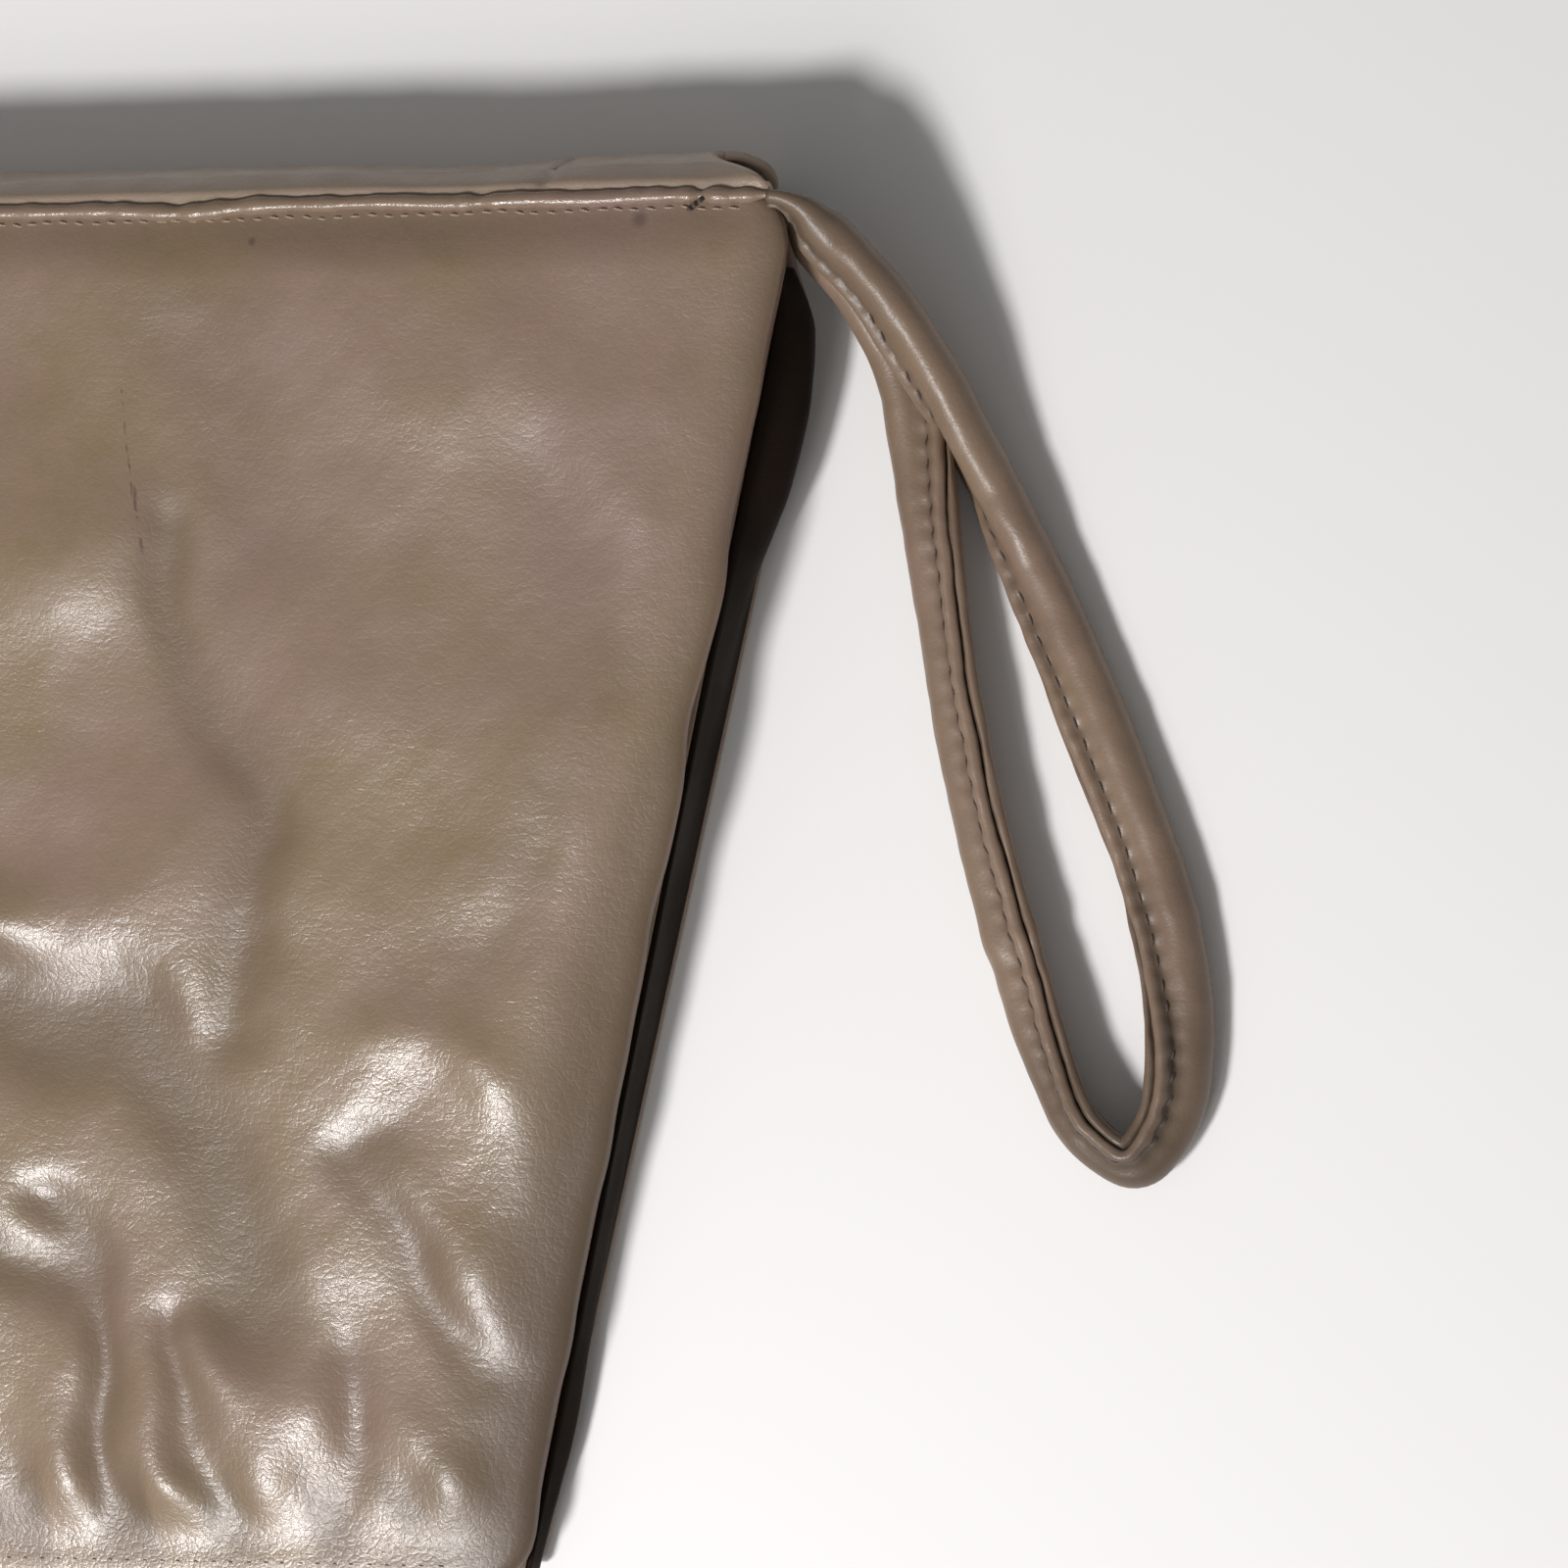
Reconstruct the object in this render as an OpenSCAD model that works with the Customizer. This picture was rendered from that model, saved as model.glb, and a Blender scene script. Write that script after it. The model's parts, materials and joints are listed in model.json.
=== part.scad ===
// Wristlet clutch wallet: a gusseted leather pouch under a full-length front flap, with a soft
// spine along the fold, a magnetic snap, an inner zip pocket and a rolled wrist strap.
// The wallet lies on its back: +X to its right, +Y towards the fold, +Z out of its front.
// The origin is the middle of the back panel's outer face, on the surface it lies on.

/* [Outline] */
// Half width of the flap and pouch at the fold, before the corners are rounded
half_top = 143.5; // [135:0.5:150]
// Half width at the bottom edge
half_bottom = 93; // [85:1:105]
// Length from the fold hinge to the bottom edge
body_h = 211.5; // [200:0.5:225]
// Distance from the origin to the fold hinge
fold_y = 106.5; // [100:0.5:112]
// Reach of the rounded corners along each edge
corner_r = 8; // [4:1:12]

/* [Thickness] */
// Height of the closed wallet at the fold
fold_h = 24; // [23:0.5:27]
// Height of the closed wallet at the bottom edge
bottom_h = 11; // [10.5:0.5:12]
// Thickness of the outer leather
leather = 1.4; // [1.2:0.1:1.5]
// Thickness of the lining cloth
lining = 0.5; // [0.4:0.05:0.6]
// Thickness of the stiffening boards
board = 1; // [0.8:0.1:1]
// How far the spine bulges out beyond the hinge lines
spine_bulge = 3.4; // [2.5:0.1:4.5]
// How far the gussets swell out near the mouth
gusset_bulge = 6; // [3:0.5:7]

/* [Mouth and pockets] */
// Distance from the hinge to the ends of the pouch mouth
mouth_v = 12; // [12:1:16]
// Depth of the dip in the middle of the mouth
mouth_dip = 22; // [16:1:26]
// Distance from the hinge to the middle of the inner zip
zip_v = 21.5; // [20.5:0.5:23]
// Length of the inner zip between its stops
zip_l = 136; // [110:2:140]
// Length of the zip pull
pull_l = 12; // [9:1:12]

/* [Snap] */
// Distance from the hinge to the magnetic snap
snap_v = 165; // [140:1:180]
// Diameter of the snap's two discs
snap_d = 14; // [12:1:16]

/* [Wrist strap] */
// Width of the rolled strap across its bulge and lips
strap_w = 10.2; // [9:0.2:11]
// Height of the rolled strap
strap_t = 7; // [6:0.2:7.4]

/* [Hidden] */
$fn = 64;
eps = 0.05;             // gap left between stacked layers
hinge_gap = 1.6;        // clear space on each side of a hinge line
slope = asin((fold_h - bottom_h) / body_h);

// Heights of the layers under the back lining
board_z = leather + eps;
bag_z = board_z + board + eps;
bag_t = 0.3;
lining_z = 3.6;
zip_frame_z = lining_z + lining + eps;
frame_t = 0.8;

// Depths below the flap's outer face
flap_board_w = leather + eps;
flap_lining_w = flap_board_w + board + eps;
flap_t = flap_lining_w + lining;
clearance = 0.9;
wall_w = flap_t + clearance;
wall_t = 1.2;
front_lining_w = wall_w + wall_t + eps;
front_t = front_lining_w + lining;

// Zip cross-section, measured from the middle of the teeth
post_half = 0.8;
teeth_half = 2.4;
tape_half = 8;
slot_half = 3.6;
tooth_pitch = 4;
slider_l = 9;
pin_z = 7.1;
pull_t = 1;

// Wrist strap route, from the upper root round the loop to the lower root
strap_route = [
    [145, 98.4, 20.3], [149, 93.7, 17.8], [152.8, 88.7, 15.3], [156.4, 82.3, 12.9], [160.6, 74.6, 10.5],
    [164.2, 67.3, 8.3], [167.6, 60, 6.3], [170.6, 52.7, 4.9], [173.8, 45.4, 4], [179.9, 31, 3.6],
    [185.9, 16.2, 3.6], [191.3, 1.7, 3.6], [194.6, -12.8, 3.6], [195.4, -23.7, 3.6], [193.8, -33.2, 3.6],
    [188.2, -39.7, 3.6], [181, -35.4, 3.6], [176.6, -27.4, 3.6], [171.6, -12.8, 3.6], [167.4, 1.8, 3.6],
    [163.9, 16.4, 3.6], [161.2, 31, 3.6], [159, 45.6, 3.6], [157, 60.3, 3.6], [155.9, 68, 3.7],
    [155, 75.5, 4.2], [152.4, 82.5, 5.6], [148.7, 89.4, 7.6], [145, 94.5, 9.6]];
strap_neck = 0.65;      // width of the strap at its roots, as a share of strap_w
neck_l = 4;             // route points over which the strap widens
route_steps = 2;        // rings between two route points

// ---- shared geometry ----
function half(v) = half_top - (half_top - half_bottom) * v / body_h;
function face_z(v) = fold_h - v * sin(slope);

// A curved corner between the edges towards a and b
function corner(p, a, b, r, n = 6) =
    let (u = (a - p) / norm(a - p), w = (b - p) / norm(b - p))
    [for (i = [0:n]) let (t = i / n) p + u * r * (1 - t) * (1 - t) + w * r * t * t];
function rounded(p, r) =
    let (n = len(p)) [for (i = [0:n - 1]) each corner(p[i], p[(i + n - 1) % n], p[(i + 1) % n], r)];

// The tapering outline between two distances from the hinge
function outline(v0, v1, inset) =
    [[-half(v0) + inset, -v0], [-half(v1) + inset, -v1], [half(v1) - inset, -v1], [half(v0) - inset, -v0]];

// The dipped edge of the pouch mouth, from left to right
dip_half = 105;
function mouth_edge(inset) =
    [for (i = [0:24]) let (x = dip_half * (i / 12 - 1)) [x, -mouth_v - inset - mouth_dip * (1 + cos(180 * x / dip_half)) / 2]];
function wall_outline(inset, mouth_inset) = concat(
    [[-half(body_h) + inset, -body_h + inset], [half(body_h) - inset, -body_h + inset],
     [half(mouth_v) - inset, -mouth_v - mouth_inset]],
    [for (i = [24:-1:0]) mouth_edge(mouth_inset)[i]],
    [[-half(mouth_v) + inset, -mouth_v - mouth_inset]]);

module on_back() translate([0, fold_y, 0]) children();
module on_slope() translate([0, fold_y, fold_h]) rotate([slope, 0, 0]) children();
module layer(points, z, t) translate([0, 0, z]) linear_extrude(t) polygon(points);
module slab(x, y, z, size) translate([x, y, z]) translate([-size[0] / 2, -size[1] / 2, 0]) cube(size);

// ---- pouch ----
module back_panel() color("#8c7a69")
    on_back() layer(rounded(outline(hinge_gap, body_h, 0), corner_r), 0, leather);

module back_board() color("#cbb994")
    on_back() layer(outline(4, body_h - 4, 3), board_z, board);

module back_lining() color("#4a3d33") on_back() difference() {
    layer(outline(3, body_h - 4, 3), lining_z, lining);
    slab(0, -zip_v, lining_z - 1, [zip_l + 8, 2 * tape_half + 0.2, 2]);
}

module front_wall() color("#85735f") on_slope() difference() {
    layer(wall_outline(0.8, 0), -wall_w - wall_t, wall_t);
    translate([0, -snap_v, -wall_w - 2]) cylinder(d = 4.4, h = 3);
}

module front_lining() color("#4a3d33") on_slope() difference() {
    layer(wall_outline(3, 1), -front_t, lining);
    translate([0, -snap_v, -front_t - 1]) cylinder(d = 4.4, h = 3);
}

binding_w = 4;
module mouth_binding() color("#7d6b59") on_slope()
    layer(concat([[-half(mouth_v) + 4, -mouth_v]], mouth_edge(0), [[half(mouth_v) - 4, -mouth_v]],
                 [[half(mouth_v) - 4, -mouth_v - binding_w]],
                 [for (i = [24:-1:0]) mouth_edge(binding_w)[i]],
                 [[-half(mouth_v) + 4, -mouth_v - binding_w]]),
          -wall_w + eps, 0.4);

// Gusset: a thin sheet down the side, swelling outward most near the mouth
gusset_t = 1.1;
gusset_rows = 20;
gusset_cols = 8;
function swell(v) = gusset_bulge * exp(-pow((v - 38) / (v < 38 ? 20 : 26), 2))
                  + 1.6 * exp(-pow((v - 182) / 25, 2));
function gusset_point(i, j, back) =
    let (v = mouth_v + 1 + (body_h - mouth_v - 4) * i / gusset_rows,
         t = j / gusset_cols,
         z0 = leather + eps,
         z1 = face_z(v) - wall_w - wall_t - 2 * eps)
    [half(v) - 0.2 - back + swell(v) * sin(180 * t), fold_y - v, z0 + (z1 - z0) * t];
module gusset() {
    rows = gusset_rows + 1;
    cols = gusset_cols + 1;
    count = rows * cols;
    outer = [for (i = [0:gusset_rows], j = [0:gusset_cols]) gusset_point(i, j, 0)];
    inner = [for (i = [0:gusset_rows], j = [0:gusset_cols]) gusset_point(i, j, gusset_t)];
    faces_out = [for (i = [0:gusset_rows - 1], j = [0:gusset_cols - 1])
        let (a = i * cols + j) each [[a, a + 1, a + cols + 1], [a, a + cols + 1, a + cols]]];
    edge = concat([for (j = [0:gusset_cols - 1]) j],
                  [for (i = [0:gusset_rows - 1]) i * cols + gusset_cols],
                  [for (j = [gusset_cols:-1:1]) gusset_rows * cols + j],
                  [for (i = [gusset_rows:-1:1]) i * cols]);
    n = len(edge);
    sides = [for (k = [0:n - 1]) let (a = edge[k], b = edge[(k + 1) % n])
        each [[b, a, a + count], [b, a + count, b + count]]];
    faces_in = [for (f = faces_out) [f[0] + count, f[2] + count, f[1] + count]];
    polyhedron(concat(outer, inner), concat(faces_out, faces_in, sides));
}
module gusset_right() color("#6e5e4f") gusset();
module gusset_left() color("#6e5e4f") mirror([1, 0, 0]) gusset();

module base_strip() color("#6e5e4f") on_back()
    slab(0, -body_h + 2, leather + eps,
         [2 * half_bottom - 6, 1.4, face_z(body_h) - wall_w - wall_t - leather - 4 * eps]);

card_step = 14;
card_ply = 0.35;
module card_pocket() color("#53463a") on_back()
    for (i = [0:2])
        slab(0, -95 - i * card_step / 2, zip_frame_z + i * card_ply,
             [190, 92 - i * card_step, card_ply]);

// ---- inner zip pocket ----
module at_zip() translate([0, fold_y - zip_v, 0]) children();

module zip_bag() color("#3f342b") on_back()
    slab(0, -zip_v - 40, bag_z, [zip_l + 20, 104, bag_t]);

module zip_tape() color("#57483b") at_zip() for (s = [-1, 1])
    slab(0, s * (teeth_half + eps + tape_half) / 2, lining_z,
         [zip_l + 7, tape_half - teeth_half - eps, 0.4]);

module zip_teeth() color("#a58a52") at_zip() for (s = [-1, 1])
    translate([0, 0, lining_z]) linear_extrude(1.3)
        polygon(concat([[-zip_l / 2, s * teeth_half], [zip_l / 2, s * teeth_half]],
            [for (i = [zip_l / tooth_pitch:-1:1]) let (x = i * tooth_pitch - zip_l / 2)
                each [[x, s * post_half], [x - 1.9, s * post_half],
                      [x - 1.9, s * (post_half + 0.9)], [x - tooth_pitch + 0.1, s * (post_half + 0.9)]]]));

module zip_stops() color("#a58a52") at_zip() for (s = [-1, 1])
    slab(s * (zip_l / 2 + 1.4), 0, lining_z, [2.2, 2 * teeth_half, 1.4]);

module zip_frame() color("#7d6b59") at_zip() difference() {
    slab(0, 0, zip_frame_z, [zip_l + 16, 19, frame_t]);
    slab(0, 0, zip_frame_z - 1, [zip_l + 5.6, 2 * slot_half, 3]);
}

slider_x = zip_l / 2 - slider_l / 2 - 1;
module zip_slider() color("#b3975c") at_zip() translate([slider_x, 0, 0]) {
    slab(0, 0, 5.1, [slider_l, 6.2, 0.8]);
    slab(0, 0, 2.95, [slider_l, 5.6, 0.5]);
    slab(slider_l / 2 - 1.5, 0, 3.4, [2, 1, 1.8]);
    for (s = [-1, 1]) slab(0, s * 2.1, 5.8, [3, 0.8, 2]);
    translate([0, 0, pin_z]) rotate([90, 0, 0]) cylinder(r = 0.45, h = 4, center = true);
}

module zip_pull() color("#b3975c") at_zip() translate([slider_x, 0, pin_z])
    rotate([90, 0, 0]) difference() {
        union() {
            cylinder(r = 1.1, h = 2.6, center = true);
            translate([-pull_l, -pull_t / 2, -1.3]) cube([pull_l, pull_t, 2.6]);
            translate([-pull_l, -pull_t / 2, -2.5]) cube([pull_l - 3.5, pull_t, 5]);
        }
        cylinder(r = 0.65, h = 6, center = true);
    }

// ---- snap, in layers below the flap's outer face ----
module at_snap() on_slope() translate([0, -snap_v, 0]) children();
module ring(d, hole, lo, hi) translate([0, 0, lo]) difference() {
    cylinder(d = d, h = hi - lo);
    translate([0, 0, -1]) cylinder(d = hole, h = hi - lo + 2);
}
washer_t = 0.5;
nipple_d = 4.6;
bore_d = 5.4;
cap_top = -flap_board_w - washer_t - eps;
module snap_cap_washer() color("#8f7a4a") at_snap()
    translate([0, 0, -flap_board_w - washer_t]) cylinder(d = snap_d + 5, h = washer_t);

module snap_cap() color("#b3975c") at_snap() {
    ring(snap_d, snap_d - 2, -flap_t - 0.2, cap_top);
    ring(snap_d - 1, bore_d, -flap_t - 0.2, -flap_t + 0.2);
}

module snap_magnet() color("#3c3c3e") at_snap() ring(snap_d - 2.4, bore_d + 0.2, -flap_t + 0.25, cap_top);

module snap_stud() color("#b3975c") at_snap() {
    translate([0, 0, -wall_w + eps]) cylinder(d = snap_d, h = 0.5);
    translate([0, 0, -wall_w + eps]) cylinder(d = nipple_d, h = wall_w - flap_board_w - washer_t - 0.25);
    translate([0, 0, -front_t - 0.5]) cylinder(d = 3.6, h = front_t - wall_w + 0.8);
}

module snap_stud_washer() color("#8f7a4a") at_snap() ring(snap_d + 3, 3.8, -front_t - 0.5, -front_t - eps);

// ---- spine ----
hinge_lo_z = leather / 2;
hinge_hi_z = fold_h - leather / 2;
chord = hinge_hi_z - hinge_lo_z;
spine_r = (chord * chord / 4 + spine_bulge * spine_bulge) / (2 * spine_bulge);
spine_l = 2 * half_top - 9;
// An arc along the spine between two radii, stopping short of both hinge lines
module spine_arc(r_out, r_in, gap) translate([0, fold_y + spine_bulge - spine_r, fold_h / 2])
    rotate([90, 0, 90]) linear_extrude(spine_l, center = true) intersection() {
        difference() { circle(r_out, $fn = 128); circle(r_in, $fn = 128); }
        translate([spine_r - spine_bulge - 2, -chord / 2 + gap]) square([30, chord - 2 * gap]);
    }
module spine_band() color("#8a8073")
    spine_arc(spine_r + leather / 2, spine_r - leather / 2, hinge_gap);
module spine_lining() color("#4a3d33")
    spine_arc(spine_r - leather / 2 - eps, spine_r - leather / 2 - eps - lining, 2.4);

// ---- flap ----
module flap_panel() color("#907f6d")
    on_slope() layer(rounded(outline(hinge_gap, body_h, 0), corner_r), -leather, leather);

module flap_board() color("#cbb994") on_slope() difference() {
    layer(outline(5, body_h - 5, 4), -flap_board_w - board, board);
    translate([0, -snap_v, -flap_board_w - board - 1]) cylinder(d = snap_d + 0.4, h = 3);
    translate([0, -snap_v, -flap_board_w - washer_t - eps]) cylinder(d = snap_d + 5.4, h = 1);
}

module flap_lining() color("#4a3d33") on_slope() difference() {
    layer(outline(3, body_h - 1, 1), -flap_t, lining);
    translate([0, -snap_v, -flap_t - 1]) cylinder(d = snap_d + 0.4, h = 3);
}

ridge_v = 2.7;
ridge_r = 1.1;
module seam_ridge() color("#a08f7c") on_slope() translate([0, -ridge_v, 0.01]) intersection() {
    rotate([0, 90, 0]) cylinder(r = ridge_r, h = 2 * half_top - 18, center = true);
    slab(0, 0, 0, [300, 4, 2]);
}

module flap_hem() color("#93826f") on_slope()
    slab(0, -body_h + 3.2, 0.01, [2 * half_bottom - 14, 4, 0.5]);

// ---- wrist strap ----
// The two strap ends, pressed flat and sewn in under the seam ridge at the right corner
module strap_root() color("#7d6b59") on_slope()
    slab(half_top - 12, -6.6, 0.01, [12, 5, 1.6]);

function spline(p, i, t) =
    let (n = len(p) - 1, a = p[max(i - 1, 0)], b = p[i], c = p[min(i + 1, n)], d = p[min(i + 2, n)])
    0.5 * (2 * b + (c - a) * t + (2 * a - 5 * b + 4 * c - d) * t * t + (3 * b - a - 3 * c + d) * t * t * t);
strap_line = concat(
    [for (i = [0:len(strap_route) - 2], k = [0:route_steps - 1]) spline(strap_route, i, k / route_steps)],
    [strap_route[len(strap_route) - 1]]);
rings = len(strap_line);
function unit(a) = a / norm(a);
function swell_at(i) =
    strap_neck + (1 - strap_neck) * min(1, min(i, rings - 1 - i) / (neck_l * route_steps));
// An oval ring across the strap, wide in its own plane and flatter in height
function oval(i, sides, w, t) =
    let (along = unit(strap_line[min(i + 1, rings - 1)] - strap_line[max(i - 1, 0)]),
         side = unit(cross(along, [0, 0, 1])), up = cross(side, along), k = swell_at(i))
    [for (j = [0:sides - 1]) let (q = 360 * j / sides)
        strap_line[i] + side * (k * w / 2 * cos(q)) + up * (t / 2 * min(1, k + 0.15) * sin(q))];
function tube_sides(sides, first, flip) = [for (i = [0:rings - 2], j = [0:sides - 1])
    let (a = first + i * sides + j, b = first + i * sides + (j + 1) % sides)
    each (flip ? [[a, b, a + sides], [b, b + sides, a + sides]]
               : [[b, a, a + sides], [b + sides, b, a + sides]])];
tube_facets = 10;
wall = 1.2;
module strap_cover() color("#7d6b59") {
    n = tube_facets;
    m = rings * n;
    last = (rings - 1) * n;
    outer = [for (i = [0:rings - 1]) each oval(i, n, strap_w, strap_t)];
    inner = [for (i = [0:rings - 1]) each oval(i, n, strap_w - 2 * wall, strap_t - 2 * wall)];
    caps = [for (j = [0:n - 1]) let (k = (j + 1) % n)
        each [[j, k, m + j], [k, m + k, m + j],
              [last + k, last + j, m + last + j], [m + last + k, last + k, m + last + j]]];
    polyhedron(concat(outer, inner), concat(tube_sides(n, 0, false), tube_sides(n, m, true), caps));
}

module strap_core() color("#d8cdb8") {
    n = tube_facets;
    play = 0.2;
    points = [for (i = [0:rings - 1])
        each oval(i, n, strap_w - 2 * wall - 2 * play, strap_t - 2 * wall - 2 * play)];
    polyhedron(points, concat(tube_sides(n, 0, false),
        [[for (j = [0:n - 1]) j]], [[for (j = [n - 1:-1:0]) (rings - 1) * n + j]]));
}

back_panel();
back_board();
back_lining();
front_wall();
front_lining();
mouth_binding();
gusset_right();
gusset_left();
base_strip();
card_pocket();
zip_bag();
zip_tape();
zip_teeth();
zip_stops();
zip_frame();
zip_slider();
zip_pull();
snap_stud();
snap_stud_washer();
spine_band();
spine_lining();
flap_panel();
flap_board();
flap_lining();
seam_ridge();
flap_hem();
snap_cap();
snap_magnet();
snap_cap_washer();
strap_root();
strap_cover();
strap_core();
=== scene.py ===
"""Wristlet clutch wallet, lying on its back with its flap shut.

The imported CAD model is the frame. The leather, linings, seams and wrist strap are built here as
soft pieces over it. Lengths are in millimetres until a mesh is made, which turns them to metres.
"""
import json
import math

import bpy
import numpy as np
from mathutils import Matrix, Vector


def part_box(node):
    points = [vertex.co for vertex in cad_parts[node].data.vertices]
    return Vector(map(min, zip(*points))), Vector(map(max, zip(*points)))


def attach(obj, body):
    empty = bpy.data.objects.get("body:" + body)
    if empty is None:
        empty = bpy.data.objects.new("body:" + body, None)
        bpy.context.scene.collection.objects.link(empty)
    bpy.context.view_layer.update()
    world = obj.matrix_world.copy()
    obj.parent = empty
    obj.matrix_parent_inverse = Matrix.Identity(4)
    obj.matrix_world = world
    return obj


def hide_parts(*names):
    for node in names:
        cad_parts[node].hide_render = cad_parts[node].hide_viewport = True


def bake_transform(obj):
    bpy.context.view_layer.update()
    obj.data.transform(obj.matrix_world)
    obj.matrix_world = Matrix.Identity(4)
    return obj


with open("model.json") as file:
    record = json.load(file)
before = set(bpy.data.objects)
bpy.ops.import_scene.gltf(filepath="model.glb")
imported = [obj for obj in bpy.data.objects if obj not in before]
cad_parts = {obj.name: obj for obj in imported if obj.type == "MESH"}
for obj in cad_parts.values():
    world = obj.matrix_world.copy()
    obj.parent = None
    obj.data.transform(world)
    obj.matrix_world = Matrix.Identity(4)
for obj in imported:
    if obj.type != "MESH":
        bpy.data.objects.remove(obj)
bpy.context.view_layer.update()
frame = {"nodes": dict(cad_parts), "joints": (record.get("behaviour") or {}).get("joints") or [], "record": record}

# ---------------------------------------------------------------- sizes
MM = 0.001
JOINTS = {j["name"]: j for j in frame["joints"]}
LEATHER = 1.4
FOLD_Y = JOINTS["flap_turn"]["pos_m"][1] / MM
FOLD_H = JOINTS["flap_turn"]["pos_m"][2] / MM + LEATHER / 2
BODY_H = FOLD_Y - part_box("back_panel")[0].y / MM
BOTTOM_H = 11.0
HALF_TOP, HALF_BOTTOM = 143.5, 93.0
CORNER_R = 8.0
HINGE_GAP = 1.6                     # the panels start this far from the hinge line
SLOPE = math.asin((FOLD_H - BOTTOM_H) / BODY_H)
FLAP_T = 3.0                        # flap leather, board and lining together
WALL_W, WALL_T = 3.9, 1.2           # the front wall's depth below the flap face, and thickness
MOUTH_V, MOUTH_DIP, DIP_HALF = 12.0, 22.0, 105.0
ZIP_V, ZIP_L = 21.5, 136.0
SNAP_V = 165.0
LINING_Z, LINING_T = 3.6, 0.5
FRAME_Z, FRAME_T = 4.15, 0.8
RIDGE_V, RIDGE_R = 2.7, 1.1
HEM_V = BODY_H - 3.2
SPINE_BULGE = 3.4
SPINE_HALF = HALF_TOP - 4.5
CHORD = FOLD_H - LEATHER
SPINE_R = (CHORD ** 2 / 4 + SPINE_BULGE ** 2) / (2 * SPINE_BULGE)
SPINE_Y = FOLD_Y + SPINE_BULGE - SPINE_R


def half(v):
    """Half width of the wallet at a distance from the hinge."""
    return HALF_TOP - (HALF_TOP - HALF_BOTTOM) * v / BODY_H


def on_slope(x, v, w):
    """Points given across, down from the hinge, and out from the flap's face."""
    s, c = math.sin(SLOPE), math.cos(SLOPE)
    return np.stack(np.broadcast_arrays(x, FOLD_Y - v * c - w * s, FOLD_H - v * s + w * c), -1)


def on_back(x, v, z):
    return np.stack(np.broadcast_arrays(x, FOLD_Y - v, z), -1)


def smooth(t):
    t = np.clip(t, 0, 1)
    return t * t * (3 - 2 * t)


def bump(d, width):
    return np.exp(-(d / width) ** 2)


def waves(x, y, size, seed, stretch=1.0, turn=0.0, count=16):
    """Repeatable soft bumps about `size` across, roughly between -1 and 1."""
    rng = np.random.default_rng(seed)
    c, s = math.cos(turn), math.sin(turn)
    a, b = (x * c + y * s) / stretch, -x * s + y * c
    total = 0
    for _ in range(count):
        way, phase, scale = rng.uniform(0, 2 * math.pi), rng.uniform(0, 2 * math.pi), rng.uniform(0.6, 1.7)
        total = total + np.cos((a * math.cos(way) + b * math.sin(way)) * math.pi / (size * scale) + phase)
    return total / math.sqrt(count)


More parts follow.
